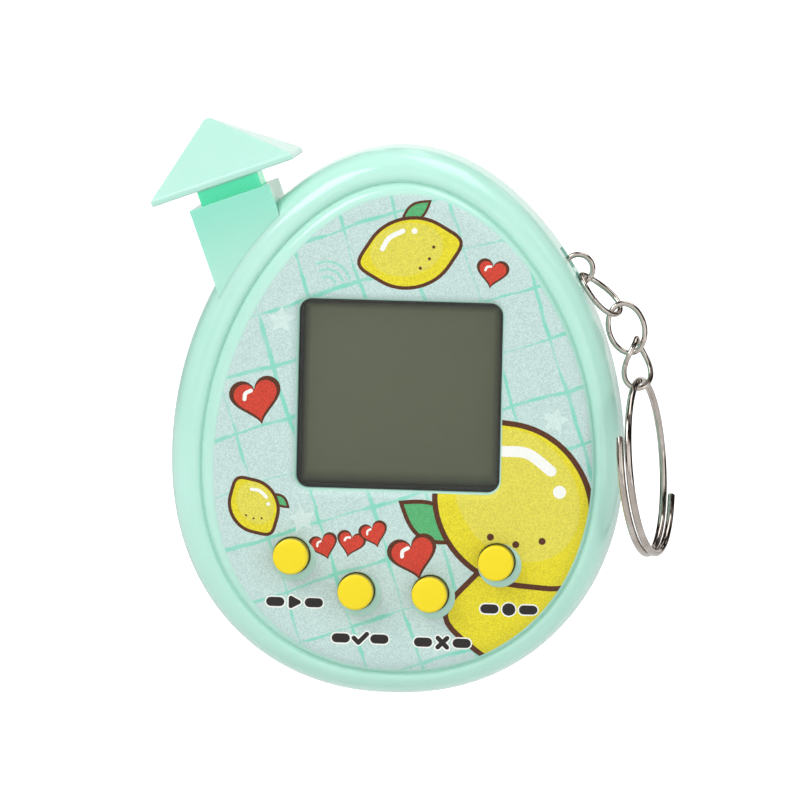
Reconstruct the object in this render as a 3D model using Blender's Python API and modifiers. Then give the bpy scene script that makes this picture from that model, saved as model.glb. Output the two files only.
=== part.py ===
"""Virtual pet keychain: an egg-shaped toy with a display, four buttons, a push knob and a key ring.

The case is drawn in a face frame: x to the right, y up the face and z out of the face,
with z = 0 on the flat back. The frame is turned so that the face looks along -Y and its
top points along +Z. Sizes are in millimetres, and MM turns them into metres.
"""

import math

import bmesh
import bpy
from mathutils import Matrix, Vector

MM = 0.001

# How far a cutter goes past the faces that it opens
CUT_OVER = 1.5

# Egg outline of the case
HALF_WIDTH = 26.9
WIDEST_UP = -4.5
UPPER_REACH = 37.0
LOWER_REACH = 28.25
LOWER_POWER = 2.15
UPPER_TAPER = 0.08
OUTLINE_POINTS = 52

# Case heights above the flat back
PARTING = 9.0
SEAM = 0.15
PLATEAU_TOP = 17.2
FRONT_INSIDE = 15.5
BACK_INSIDE = 1.6
WALL = 1.7

# The rim and the plateau sit to the right of the outline and below it, by this much at this inset
FACE_SHIFT = Vector((0.57, -0.57))
FULL_SHIFT_INSET = 3.0

# Front profile from the parting line to the printed plateau: (inset from the outline, height)
FRONT_OUTSIDE = [
    (0.0, PARTING + SEAM / 2),
    (0.05, 11.0),
    (0.25, 13.0),
    (0.75, 14.6),
    (1.5, 15.65),
    (2.4, 16.2),
    (3.1, 16.25),
    (3.5, 15.95),
    (3.8, 16.4),
    (4.2, 16.85),
    (4.8, 17.1),
    (5.4, PLATEAU_TOP),
]
FRONT_CAVITY = [
    (WALL, PARTING - 1.0),
    (1.8, 13.2),
    (2.8, 14.9),
    (4.2, FRONT_INSIDE),
]

# Back profile from the parting line to the flat back
BACK_OUTSIDE = [
    (0.0, PARTING - SEAM / 2),
    (0.05, 6.6),
    (0.35, 4.3),
    (1.2, 2.2),
    (2.8, 0.8),
    (4.8, 0.15),
    (6.6, 0.0),
]
BACK_CAVITY = [
    (WALL, PARTING + 1.0),
    (1.9, 4.8),
    (3.2, 2.7),
    (5.4, BACK_INSIDE),
]

# Display
WINDOW_WIDTH = 24.2
WINDOW_HEIGHT = 22.5
WINDOW_X = 0.6
WINDOW_UP = 3.17
WINDOW_CORNER = 1.5
LENS_SIZE = (26.4, 24.7, 0.8)
LENS_BOTTOM = 14.6
FRAME_WIDTH = 30.0
FRAME_HEIGHT = 29.0
FRAME_TOP = 14.5
FRAME_LIP = 0.6
FRAME_WALL = 1.0
VIEW_WIDTH = 23.4
VIEW_HEIGHT = 21.5
GLASS_SIZE = (27.6, 26.6, 1.9)
GLASS_BOTTOM = 11.9
ZEBRA_SIZE = (25.0, 2.0, 1.6)
ZEBRA_BOTTOM = 10.15
ZEBRA_REACH = 11.8

# Board
BOARD_INSET = 5.0
BOARD_BOTTOM = 9.0
BOARD_TOP = 10.0
MOUNT_GAP = 0.05
BLOB_PROFILE = [(0.0, 0.0), (3.8, 0.0), (3.7, -0.45), (2.9, -0.95), (1.5, -1.25), (0.0, -1.35)]
BLOB_PLACE = (1.0, 6.0)
RESISTOR_SIZE = (1.6, 0.8, 0.5)
RESISTOR_PLACE = (-6.5, 3.5)
CAPACITOR_SIZE = (2.0, 1.25, 0.9)
CAPACITOR_PLACE = (-6.5, 7.5)
CRYSTAL_PROFILE = [(0, 3), (0.7, 3), (1, 2.7), (1, -3), (0, -3)]
CRYSTAL_PLACE = (9.5, 8.0)
CRYSTAL_RADIUS = 1.0
TOWER_RELIEF = (14.0, 11.5, 20.0)
TOWER_RELIEF_TOP = 1.2

# Buttons
BUTTONS = [(-11.7, -16.15), (-3.9, -20.15), (4.9, -20.2), (12.7, -16.2)]
BUTTON_HOLE_RADIUS = 2.25
CAP_RADIUS = 2.1
CAP_TOP = 19.5
CAP_EDGE = 0.35
FLANGE_RADIUS = 2.8
FLANGE_BOTTOM = 14.6
FLANGE_TOP = 15.4
STEM_RADIUS = 1.5
STEM_BOTTOM = 13.4
MAT_SIZE = (31.0, 10.2, 0.8)
MAT_X = 0.5
MAT_UP = -18.2
MAT_BOTTOM = 10.1
DOME_RADIUS = 2.3
DOME_CROWN = 1.4
DOME_TOP = 13.3
DOME_SKIRT = 0.4
DOME_NECK = 0.8
DOME_SKIN = 1.2
DOME_HOLLOW = 1.5

# Case screws and the posts that take them
SCREW_PLACES = {
    "top": (0.0, 25.0),
    "bottom": (0.0, -27.3),
    "left": (-20.5, -4.0),
    "right": (20.5, -4.0),
}
POST_RADIUS = 2.2
POST_BOTTOM = 8.6
POST_TOP = 15.8
POST_RELIEF = 0.5
PILOT_RADIUS = 0.8
PILOT_TOP = 14.0
SLEEVE_RADIUS = 3.1
SLEEVE_BOTTOM = 1.0
SLEEVE_TOP = 8.3
COUNTERBORE_RADIUS = 2.1
COUNTERBORE_TOP = 5.6
CLEARANCE_RADIUS = 1.1
SCREW_RADIUS = 0.72
SCREW_HEAD_RADIUS = 1.8
SCREW_HEAD_HEIGHT = 1.3
SCREW_LENGTH = 8.0
SCREW_TIP = 0.7
RECESS_SIZE = (2.0, 0.45, 1.4)
SEAT_GAP = 0.05

# Battery compartment
POCKET_X = -2.3
POCKET_UP = -11.5
CELL_RADIUS = 5.8
CELL_HEIGHT = 5.4
CELL_SPREAD = 6.1
CELL_BOTTOM = 1.9
CELL_SHOULDER = 0.9
CELL_STEP = 0.4
CELL_EDGE = 0.3
POCKET_FLOOR = 7.75
POCKET_WALL = 1.3
POCKET_ROOM = (24.6, 12.6)
POCKET_BOTTOM = 1.0
TRAY_MARGIN = (2.4, 2.0)
TRAY_BOTTOM = 1.1
TRAY_ROOF = 0.8
DOOR_WIDTH = 31.2
DOOR_HEIGHT = 14.6
DOOR_THICKNESS = 1.4
DOOR_CORNER = 2.0
DOOR_GAP = 0.2
DOOR_LEDGE = 1.5
DOOR_SCREW_X = 13.1
DOOR_SCREW_SEAT = 1.0
DOOR_SCREW_LENGTH = 4.6
DOOR_SCREW_HEAD = 1.7
DOOR_PILOT_TOP = 5.8
BOSS_RADIUS = 2.6
BOSS_TOP = 6.5
GRIP_SIZE = (0.6, 6.0, 0.6)
GRIP_X = -12.6
GRIP_PITCH = 1.3
GRIPS = 3
CONTACT_SIZE = (5.0, 8.0, 0.2)
CONTACT_GAP = 0.08
LINK_PLATE_SIZE = (17.0, 5.0, 0.2)
PLATE_CORNER = 0.8

# Sounder
SOUND_UP = 14.5
SOUND_HOLE_RADIUS = 0.6
SOUND_HOLE_CIRCLE = 2.4
SOUND_HOLES = 6
PLATE_RADIUS = 6.5
PLATE_HEIGHTS = (1.7, 1.95)
CERAMIC_RADIUS = 4.6
CERAMIC_HEIGHTS = (2.0, 2.25)

# Tower and its push knob, drawn in a frame on the middle of the tower's top, y out of the case
TOWER_X = -20.3
TOWER_UP = 26.0
TOWER_TILT = math.radians(20.5)
TOWER_WIDTH = 10.0
TOWER_DEPTH = 12.5
TOWER_ROOT = 13.0
SLOT_GAP = 0.06
TOWER_CORE_INSET = 2.4
BARREL_WIDTH = 9.8
BARREL_DEPTH = 8.8
BARREL_LENGTH = 9.5
BARREL_ROOT = 1.0
BORE_LENGTH = 8.0
NECK_WIDTH = 7.6
NECK_DEPTH = 6.5
NECK_GAP = 0.15
NECK_BOTTOM = -4.4
NECK_CORNER = 0.4
UNION_DEPTH = 1.0
PIN_SHIFT = -1.4
PIN_RADIUS = 0.9
PIN_HOLE_RADIUS = 1.1
PIN_BOTTOM = -9.6
SPRING_RADIUS = 1.5
SPRING_WIRE = 0.17
SPRING_TURNS = 4
ROOF_BOTTOM = 1.85
ROOF_BAND = 0.7
ROOF_HEIGHT = 7.75
ROOF_WIDTH = 17.8
ROOF_DEPTH = 13.0
ROOF_SHIFT = -0.1
ROOF_PEAK = 0.6
ROOF_EDGE = 0.2
SWITCH_TOP = -10.75
SWITCH_SIZE = (4.5, 3.5, 3.2)
SWITCH_NIB = (1.6, 1.4, 1.6)
SWITCH_NIB_RISE = 0.8

# Key chain, as centrelines in the face frame
LUG_X = 20.25
LUG_UP = 17.9
LUG_RADIUS = 0.5
LUG_SLOT = 3.4
LUG_POCKET = (5.4, 5.0)
LUG_POCKET_SHIFT = (0.6, 0.5)
LUG_POCKET_CORNER = 1.2
LUG_ROOT = 0.4
LUG_HEAD = 0.1
LUG_CLEARANCE = 0.02
CHAIN_WIRE = 0.33
JUMP_CENTRE = (21.0, 18.3, 9.0)
JUMP_RADIUS = 1.7
LINK_WIDTH = 4.24
LINK_POINTS = 24
# Each link: upper end, lower end, turn of its plane out of the depth direction, twist over its length
LINKS = [
    ((21.4, 17.6, 9.2), (25.9, 13.2, 9.55), math.radians(21), math.radians(23)),
    ((26.05, 14.27, 9.37), (27.8, 8.58, 9.8), math.radians(90), math.radians(16)),
    ((28.2, 10.3, 10.1), (28.5, 4.4, 10.75), math.radians(36), math.radians(74)),
]
RING_TOP = (28.6, 5.35, 10.8)
RING_RADIUS = 10.3
RING_WIRE = 0.43
RING_PITCH = 1.0
RING_LEAN = math.radians(6)
RING_YAW = math.radians(8.5)
RING_START = math.radians(155)
RING_SWEEP = math.radians(540)
RING_POINTS = 49


# ---------------------------------------------------------------- scene and finishes


def clear_scene():
    for old in list(bpy.data.objects):
        bpy.data.objects.remove(old)


def new_collection(name, parent):
    made = bpy.data.collections.new(name)
    parent.children.link(made)
    return made


def finish(name, colour, roughness, metallic=0.0):
    """A plain Principled finish."""
    made = bpy.data.materials.new(name)
    made.use_nodes = True
    shader = made.node_tree.nodes["Principled BSDF"]
    shader.inputs["Base Color"].default_value = (*colour, 1.0)
    shader.inputs["Roughness"].default_value = roughness
    shader.inputs["Metallic"].default_value = metallic
    return made


def new_empty(name, location, rotation, parent=None):
    made = bpy.data.objects.new(name, None)
    made.location = Vector(location) * MM
    made.rotation_euler = rotation
    made.parent = parent
    PARTS.objects.link(made)
    return made


def add_object(name, data, place=(0, 0, 0), colour=None, frame=None, cutter=False):
    """Puts a mesh or curve, drawn in metres, at a place in a frame in millimetres."""
    made = bpy.data.objects.new(name, data)
    made.location = Vector(place) * MM
    made.parent = frame or FACE
    if colour:
        data.materials.append(colour)
    if cutter:
        made.hide_render = True
        made.display_type = "WIRE"
    (CUTTERS if cutter else PARTS).objects.link(made)
    return made


def mesh_of(name, shape, smooth_angle=35):
    """The finished mesh of a bmesh drawn in millimetres."""
    bmesh.ops.recalc_face_normals(shape, faces=shape.faces)
    bmesh.ops.scale(shape, vec=(MM, MM, MM), verts=shape.verts)
    made = bpy.data.meshes.new(name)
    shape.to_mesh(made)
    shape.free()
    made.shade_smooth()
    made.set_sharp_from_angle(angle=math.radians(smooth_angle))
    return made


def combine(target, operation, *tools):
    """Adds one live exact Boolean of the target with all these cutters together."""
    group = new_collection(f"{target.name}_{operation.lower()}", CUTTERS)
    for tool in tools:
        CUTTERS.objects.unlink(tool)
        group.objects.link(tool)
    made = target.modifiers.new(group.name, "BOOLEAN")
    made.operation = operation
    made.operand_type = "COLLECTION"
    made.collection = group
    made.solver = "EXACT"


# ---------------------------------------------------------------- basic solids


def block(name, size, centre, colour=None, corner=0.0, frame=None, cutter=False):
    """A box with its corners rounded in plan."""
    shape = bmesh.new()
    bmesh.ops.create_cube(shape, size=1.0)
    bmesh.ops.scale(shape, vec=size, verts=shape.verts)
    if corner:
        upright = [e for e in shape.edges if abs(e.verts[0].co.z - e.verts[1].co.z) > size[2] / 2]
        bmesh.ops.bevel(
            shape, geom=upright, offset=corner, segments=3, profile=0.5, affect="EDGES"
        )
    return add_object(name, mesh_of(name, shape), centre, colour, frame, cutter)


def turned_mesh(name, profile, steps):
    """A solid of revolution about z from (radius, height) pairs, listed from the top down."""
    guide_mesh = bpy.data.meshes.new(name + "_profile")
    points = [(radius * MM, 0.0, height * MM) for radius, height in profile]
    guide_mesh.from_pydata(points, [(i, i + 1) for i in range(len(points) - 1)], [])
    guide = bpy.data.objects.new(name + "_profile", guide_mesh)
    CUTTERS.objects.link(guide)
    spin = guide.modifiers.new("spin", "SCREW")
    spin.steps = steps
    spin.render_steps = steps
    spin.use_merge_vertices = True
    spin.merge_threshold = 0.01 * MM
    spin.use_smooth_shade = True
    graph = bpy.context.evaluated_depsgraph_get()
    made = bpy.data.meshes.new_from_object(guide.evaluated_get(graph))
    made.name = name
    bpy.data.objects.remove(guide)
    made.set_sharp_from_angle(angle=math.radians(35))
    return made


def turned(name, profile, place, colour=None, steps=24, frame=None, cutter=False):
    mesh = turned_mesh(name, profile, steps)
    return add_object(name, mesh, place, colour, frame, cutter)


def rod(name, radius, low, high, x, up, colour=None, steps=24, frame=None, cutter=False):
    """A cylinder along z from one height to another."""
    profile = [(0.0, high), (radius, high), (radius, low), (0.0, low)]
    return turned(name, profile, (x, up, 0), colour, steps, frame, cutter)


# ---------------------------------------------------------------- egg shapes


def outline(angle):
    """The case's edge: a tapered half ellipse above its widest place, a fuller curve below."""
    side, rise = math.cos(angle), math.sin(angle)
    if rise > 0:
        taper = 1 - UPPER_TAPER * rise * rise
        return Vector((HALF_WIDTH * side * taper, WIDEST_UP + UPPER_REACH * rise))
    full = 2 / LOWER_POWER
    x = math.copysign(HALF_WIDTH * abs(side) ** full, side)
    return Vector((x, WIDEST_UP - LOWER_REACH * abs(rise) ** full))


def egg_point(angle, inset):
    """A point on the outline moved inwards along its normal."""
    step = 0.001
    along = (outline(angle + step) - outline(angle - step)).normalized()
    return outline(angle) + inset * Vector((-along.y, along.x))


def egg_mesh(name, rings, shift):
    """A closed solid through egg rings of (inset, height), capped at the first and the last.

    The rings are moved by the shift as their inset grows.
    """
    shape = bmesh.new()
    angles = [2 * math.pi * i / OUTLINE_POINTS for i in range(OUTLINE_POINTS)]
    loops = []
    for inset, height in rings:
        moved = shift * min(1.0, inset / FULL_SHIFT_INSET)
        loops.append([shape.verts.new((*(egg_point(a, inset) + moved), height)) for a in angles])
    for below, above in zip(loops, loops[1:]):
        for i in range(OUTLINE_POINTS):
            j = (i + 1) % OUTLINE_POINTS
            shape.faces.new((below[i], below[j], above[j], above[i]))
    shape.faces.new(loops[0])
    shape.faces.new(loops[-1])
    return mesh_of(name, shape)


def egg(name, rings, colour=None, cutter=False, shift=Vector((0, 0))):
    return add_object(name, egg_mesh(name, rings, shift), (0, 0, 0), colour, cutter=cutter)


# ---------------------------------------------------------------- wires


def wire(name, points, radius, origin, colour, closed=False, frame=None):
    """A round wire along points in a frame, with its origin at one of the frame's places."""
    data = bpy.data.curves.new(name, "CURVE")
    data.dimensions = "3D"
    data.bevel_depth = radius * MM
    data.bevel_resolution = 2
    data.use_fill_caps = not closed
    line = data.splines.new("POLY")
    line.points.add(len(points) - 1)
    line.use_cyclic_u = closed
    for point, at in zip(line.points, points):
        point.co = (*((Vector(at) - Vector(origin)) * MM), 1.0)
    return add_object(name, data, origin, colour, frame)


def ring_points(centre, radius, count):
    """A flat circle facing z."""
    angles = [2 * math.pi * i / count for i in range(count)]
    return [
        (centre[0] + radius * math.cos(a), centre[1] + radius * math.sin(a), centre[2])
        for a in angles
    ]


def link_points(upper, lower, turn, twist):
    """A curb link: an oval between two ends whose plane twists along its length."""
    upper, lower = Vector(upper), Vector(lower)
    middle = (upper + lower) / 2
    half = (lower - upper) / 2
    along = half.normalized()
    depth = (Vector((0, 0, 1)) - along * along.z).normalized()
    aside = along.cross(depth)
    points = []
    for i in range(LINK_POINTS):
        a = 2 * math.pi * i / LINK_POINTS
        roll = turn + twist * math.cos(a) / 2
        across = depth * math.cos(roll) + aside * math.sin(roll)
        points.append(middle + half * math.cos(a) + across * LINK_WIDTH / 2 * math.sin(a))
    return points


def split_ring_points():
    """One and a half turns of a shallow helix that hangs from its top."""
    rise = Vector((-math.sin(RING_LEAN), math.cos(RING_LEAN), 0))
    near = Vector((-math.sin(RING_YAW), 0, math.cos(RING_YAW)))
    near = (near - rise * near.dot(rise)).normalized()
    axis = near.cross(rise)
    if axis.x < 0:
        axis = -axis
    centre = Vector(RING_TOP) - rise * RING_RADIUS
    points = []
    for i in range(RING_POINTS):
        share = i / (RING_POINTS - 1)
        a = RING_START + RING_SWEEP * share
        shift = RING_PITCH * (share - 0.5) * RING_SWEEP / (2 * math.pi)
        across = -near * math.cos(a)
        points.append(centre + RING_RADIUS * (across + rise * math.sin(a)) + axis * shift)
    return points


# ---------------------------------------------------------------- the pieces


def tower_slot(shell):
    """The opening in the case edge that holds the tower."""
    length = TOWER_ROOT + SLOT_GAP + CUT_OVER
    size = (TOWER_WIDTH + 2 * SLOT_GAP, length, TOWER_DEPTH + 2 * SLOT_GAP)
    name = shell.name + "_tower_slot"
    return block(name, size, (0, CUT_OVER - length / 2, 0), frame=TOWER, cutter=True)


def lug_slot(shell):
    """The pocket in the case edge around the bar that the jump ring turns on."""
    name = shell.name + "_lug_slot"
    size = (*LUG_POCKET, LUG_SLOT)
    centre = (LUG_X + LUG_POCKET_SHIFT[0], LUG_UP + LUG_POCKET_SHIFT[1], PARTING)
    return block(name, size, centre, corner=LUG_POCKET_CORNER, cutter=True)


def make_front_shell():
    shell = egg("front_shell", FRONT_OUTSIDE, MINT, shift=FACE_SHIFT)
    cavity = egg("front_cavity", FRONT_CAVITY, cutter=True)
    posts = []
    cuts = [tower_slot(shell), lug_slot(shell)]
    for label, (x, up) in SCREW_PLACES.items():
        post = rod(f"post_{label}", POST_RADIUS, POST_BOTTOM, POST_TOP, x, up, steps=16, cutter=True)
        low = POST_BOTTOM - CUT_OVER
        pilot = rod(f"pilot_{label}", PILOT_RADIUS, low, PILOT_TOP, x, up, steps=12, cutter=True)
        posts.append(post)
        cuts.append(pilot)
    low = FRONT_INSIDE - CUT_OVER
    high = PLATEAU_TOP + CUT_OVER
    size = (WINDOW_WIDTH, WINDOW_HEIGHT, high - low)
    middle = (WINDOW_X, WINDOW_UP, (low + high) / 2)
    cuts.append(block("window", size, middle, corner=WINDOW_CORNER, cutter=True))
    for number, (x, up) in enumerate(BUTTONS, 1):
        cuts.append(rod(f"button_hole_{number}", BUTTON_HOLE_RADIUS, low, high, x, up, cutter=True))
    combine(shell, "DIFFERENCE", cavity)
    combine(shell, "UNION", *posts)
    combine(shell, "DIFFERENCE", *cuts)


def screw_bore(name, x, up, step_height, top):
    """The cutter of a screw's counterbore from the back and its clearance hole beyond."""
    profile = [
        (0.0, top),
        (CLEARANCE_RADIUS, top),
        (CLEARANCE_RADIUS, step_height),
        (COUNTERBORE_RADIUS, step_height),
        (COUNTERBORE_RADIUS, -CUT_OVER),
        (0.0, -CUT_OVER),
    ]
    return turned(name, profile, (x, up, 0), steps=20, cutter=True)


def sound_holes():
    """A ring of small holes round a middle one, over the sounder."""
    holes = []
    for i in range(SOUND_HOLES + 1):
        a = 2 * math.pi * i / SOUND_HOLES
        reach = SOUND_HOLE_CIRCLE if i < SOUND_HOLES else 0.0
        x, up = reach * math.cos(a), SOUND_UP + reach * math.sin(a)
        high = BACK_INSIDE + CUT_OVER
        name = f"sound_hole_{i}"
        holes.append(rod(name, SOUND_HOLE_RADIUS, -CUT_OVER, high, x, up, steps=10, cutter=True))
    return holes


def make_back_shell():
    shell = egg("back_shell", BACK_OUTSIDE, MINT)
    cavity = egg("back_cavity", BACK_CAVITY, cutter=True)
    tray_top = POCKET_FLOOR + TRAY_ROOF
    tray_size = (
        POCKET_ROOM[0] + 2 * POCKET_WALL + TRAY_MARGIN[0],
        POCKET_ROOM[1] + 2 * POCKET_WALL + TRAY_MARGIN[1],
        tray_top - TRAY_BOTTOM,
    )
    tray_middle = (POCKET_X, POCKET_UP, (tray_top + TRAY_BOTTOM) / 2)
    tray = block("battery_tray", tray_size, tray_middle, cutter=True)
    place = (DOOR_SCREW_X, POCKET_UP)
    boss = rod("door_boss", BOSS_RADIUS, TRAY_BOTTOM, BOSS_TOP, *place, steps=16, cutter=True)
    adds = [tray, boss]
    low = PARTING - LUG_SLOT / 2 - LUG_ROOT
    high = PARTING + LUG_SLOT / 2 - LUG_HEAD
    adds.append(rod("ring_lug", LUG_RADIUS, low, high, LUG_X, LUG_UP, steps=12, cutter=True))
    slot = lug_slot(shell)
    around = LUG_RADIUS + LUG_CLEARANCE
    low, high = low - CUT_OVER, high + CUT_OVER
    keep = rod("ring_lug_room", around, low, high, LUG_X, LUG_UP, steps=12, cutter=True)
    combine(slot, "DIFFERENCE", keep)
    cuts = [*sound_holes(), tower_slot(shell), slot]
    for label, (x, up) in SCREW_PLACES.items():
        low, high = SLEEVE_BOTTOM, SLEEVE_TOP
        adds.append(rod(f"sleeve_{label}", SLEEVE_RADIUS, low, high, x, up, steps=20, cutter=True))
        cuts.append(screw_bore(f"screw_bore_{label}", x, up, COUNTERBORE_TOP, SLEEVE_TOP + CUT_OVER))
    door_room = (DOOR_WIDTH + 2 * DOOR_GAP, DOOR_HEIGHT + 2 * DOOR_GAP, 2 * DOOR_LEDGE)
    corner = DOOR_CORNER + DOOR_GAP
    cuts.append(block("door_recess", door_room, (0, POCKET_UP, 0), corner=corner, cutter=True))
    room_size = (*POCKET_ROOM, POCKET_FLOOR - POCKET_BOTTOM)
    room_middle = (POCKET_X, POCKET_UP, (POCKET_FLOOR + POCKET_BOTTOM) / 2)
    cuts.append(block("battery_room", room_size, room_middle, corner=1.0, cutter=True))
    pilot = rod("door_pilot", PILOT_RADIUS, POCKET_BOTTOM, DOOR_PILOT_TOP, *place, steps=12, cutter=True)
    cuts.append(pilot)
    combine(shell, "DIFFERENCE", cavity)
    combine(shell, "UNION", *adds)
    combine(shell, "DIFFERENCE", *cuts)


def make_display():
    place = (WINDOW_X, WINDOW_UP)
    block("display_lens", LENS_SIZE, (*place, LENS_BOTTOM + LENS_SIZE[2] / 2), CLEAR, corner=1.0)
    height = FRAME_TOP - BOARD_TOP - 2 * MOUNT_GAP
    size = (FRAME_WIDTH, FRAME_HEIGHT, height)
    frame = block("lcd_frame", size, (*place, FRAME_TOP - height / 2), BLACK, corner=1.0)
    inside = (FRAME_WIDTH - 2 * FRAME_WALL, FRAME_HEIGHT - 2 * FRAME_WALL, height)
    room_middle = (*place, FRAME_TOP - FRAME_LIP - height / 2)
    room = block("frame_room", inside, room_middle, cutter=True)
    view = (VIEW_WIDTH, VIEW_HEIGHT, 2 * (FRAME_LIP + CUT_OVER))
    opening = block("frame_opening", view, (*place, FRAME_TOP), cutter=True)
    combine(frame, "DIFFERENCE", room, opening)
    block("lcd_panel", GLASS_SIZE, (*place, GLASS_BOTTOM + GLASS_SIZE[2] / 2), OLIVE)
    for label, side in (("upper", 1), ("lower", -1)):
        middle = (WINDOW_X, WINDOW_UP + side * ZEBRA_REACH, ZEBRA_BOTTOM + ZEBRA_SIZE[2] / 2)
        block(f"zebra_strip_{label}", ZEBRA_SIZE, middle, GREY_RUBBER)


def make_board():
    board = egg("main_pcb", [(BOARD_INSET, BOARD_BOTTOM), (BOARD_INSET, BOARD_TOP)], GREEN_BOARD)
    middle = (0, TOWER_RELIEF_TOP - TOWER_RELIEF[1] / 2, 0)
    reliefs = [block("board_relief_tower", TOWER_RELIEF, middle, frame=TOWER, cutter=True)]
    low, high = BOARD_BOTTOM - CUT_OVER, BOARD_TOP + CUT_OVER
    for label, (x, up) in SCREW_PLACES.items():
        name = f"board_relief_{label}"
        radius = POST_RADIUS + POST_RELIEF
        reliefs.append(rod(name, radius, low, high, x, up, steps=16, cutter=True))
    combine(board, "DIFFERENCE", *reliefs)
    under = BOARD_BOTTOM - MOUNT_GAP
    turned("chip_blob", BLOB_PROFILE, (*BLOB_PLACE, under), BLACK)
    block("chip_resistor", RESISTOR_SIZE, (*RESISTOR_PLACE, under - RESISTOR_SIZE[2] / 2), BLACK)
    block("chip_capacitor", CAPACITOR_SIZE, (*CAPACITOR_PLACE, under - CAPACITOR_SIZE[2] / 2), TAN)
    crystal = turned_mesh("crystal_can", CRYSTAL_PROFILE, 16)
    can = add_object("crystal_can", crystal, (*CRYSTAL_PLACE, under - CRYSTAL_RADIUS), STEEL)
    can.rotation_euler = (math.pi / 2, 0, 0)


def make_buttons():
    middle = (MAT_X, MAT_UP, MAT_BOTTOM + MAT_SIZE[2] / 2)
    mat = block("key_mat", MAT_SIZE, middle, GREY_RUBBER, corner=2.0)
    mat_top = MAT_BOTTOM + MAT_SIZE[2]
    domes, hollows = [], []
    for number, (x, up) in enumerate(BUTTONS, 1):
        cap_profile = [
            (0.0, CAP_TOP),
            (CAP_RADIUS - CAP_EDGE, CAP_TOP),
            (CAP_RADIUS, CAP_TOP - CAP_EDGE),
            (CAP_RADIUS, FLANGE_TOP),
            (FLANGE_RADIUS, FLANGE_TOP),
            (FLANGE_RADIUS, FLANGE_BOTTOM),
            (STEM_RADIUS, FLANGE_BOTTOM),
            (STEM_RADIUS, STEM_BOTTOM),
            (0.0, STEM_BOTTOM),
        ]
        turned(f"button_cap_{number}", cap_profile, (x, up, 0), YELLOW, steps=18)
        dome_profile = [
            (0.0, DOME_TOP),
            (DOME_CROWN, DOME_TOP),
            (DOME_CROWN, DOME_TOP - DOME_NECK),
            (DOME_RADIUS, mat_top),
            (DOME_RADIUS, mat_top - DOME_SKIRT),
            (0.0, mat_top - DOME_SKIRT),
        ]
        domes.append(turned(f"dome_{number}", dome_profile, (x, up, 0), steps=16, cutter=True))
        low = MAT_BOTTOM - CUT_OVER
        high = DOME_TOP - DOME_SKIN
        hollows.append(rod(f"hollow_{number}", DOME_HOLLOW, low, high, x, up, steps=12, cutter=True))
    combine(mat, "UNION", *domes)
    combine(mat, "DIFFERENCE", *hollows)


def screw(name, x, up, head_height, length, head_radius=SCREW_HEAD_RADIUS):
    """A pan-head screw driven from the back: its head is at the low end, with a cross recess."""
    profile = [
        (0.0, length),
        (SCREW_RADIUS * 0.5, length),
        (SCREW_RADIUS, length - SCREW_TIP),
        (SCREW_RADIUS, 0.0),
        (head_radius, 0.0),
        (head_radius, -SCREW_HEAD_HEIGHT * 0.6),
        (head_radius * 0.7, -SCREW_HEAD_HEIGHT),
        (0.0, -SCREW_HEAD_HEIGHT),
    ]
    made = turned(name, profile, (x, up, head_height), STEEL, steps=14)
    centre = (x, up, head_height - SCREW_HEAD_HEIGHT)
    wide = block(f"{name}_slot_wide", RECESS_SIZE, centre, cutter=True)
    tall = block(f"{name}_slot_tall", RECESS_SIZE, centre, cutter=True)
    tall.rotation_euler = (0, 0, math.pi / 2)
    combine(made, "DIFFERENCE", wide, tall)


def make_case_screws():
    for label, (x, up) in SCREW_PLACES.items():
        screw(f"case_screw_{label}", x, up, COUNTERBORE_TOP - SEAT_GAP, SCREW_LENGTH)


def make_batteries():
    top = CELL_BOTTOM + CELL_HEIGHT
    can = [
        (0.0, top),
        (CELL_RADIUS - CELL_SHOULDER, top),
        (CELL_RADIUS - CELL_SHOULDER, top - CELL_STEP),
        (CELL_RADIUS, top - CELL_SHOULDER),
        (CELL_RADIUS, CELL_BOTTOM + CELL_EDGE),
        (CELL_RADIUS - CELL_EDGE, CELL_BOTTOM),
        (0.0, CELL_BOTTOM),
    ]
    height = top + CONTACT_GAP + CONTACT_SIZE[2] / 2
    for number, label, side in ((1, "minus", -1), (2, "plus", 1)):
        x = POCKET_X + side * CELL_SPREAD
        turned(f"button_cell_{number}", can, (x, POCKET_UP, 0), STEEL)
        name = f"battery_contact_{label}"
        block(name, CONTACT_SIZE, (x, POCKET_UP, height), STEEL, corner=PLATE_CORNER)
    middle = (POCKET_X, POCKET_UP, (DOOR_LEDGE + CELL_BOTTOM) / 2)
    block("battery_link_plate", LINK_PLATE_SIZE, middle, STEEL, corner=PLATE_CORNER)


def make_battery_door():
    size = (DOOR_WIDTH, DOOR_HEIGHT, DOOR_THICKNESS)
    door = block("battery_door", size, (0, POCKET_UP, size[2] / 2), MINT, corner=DOOR_CORNER)
    top = DOOR_THICKNESS + CUT_OVER
    cuts = [screw_bore("door_screw_bore", DOOR_SCREW_X, POCKET_UP, DOOR_SCREW_SEAT, top)]
    for i in range(GRIPS):
        place = (GRIP_X + GRIP_PITCH * i, POCKET_UP, 0)
        cuts.append(block(f"door_grip_{i}", GRIP_SIZE, place, cutter=True))
    combine(door, "DIFFERENCE", *cuts)
    seat = DOOR_SCREW_SEAT - SEAT_GAP
    screw("door_screw", DOOR_SCREW_X, POCKET_UP, seat, DOOR_SCREW_LENGTH, DOOR_SCREW_HEAD)


def make_sounder():
    rod("buzzer_plate", PLATE_RADIUS, *PLATE_HEIGHTS, 0, SOUND_UP, BRASS, steps=32)
    rod("buzzer_ceramic", CERAMIC_RADIUS, *CERAMIC_HEIGHTS, 0, SOUND_UP, WHITE, steps=28)


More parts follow.
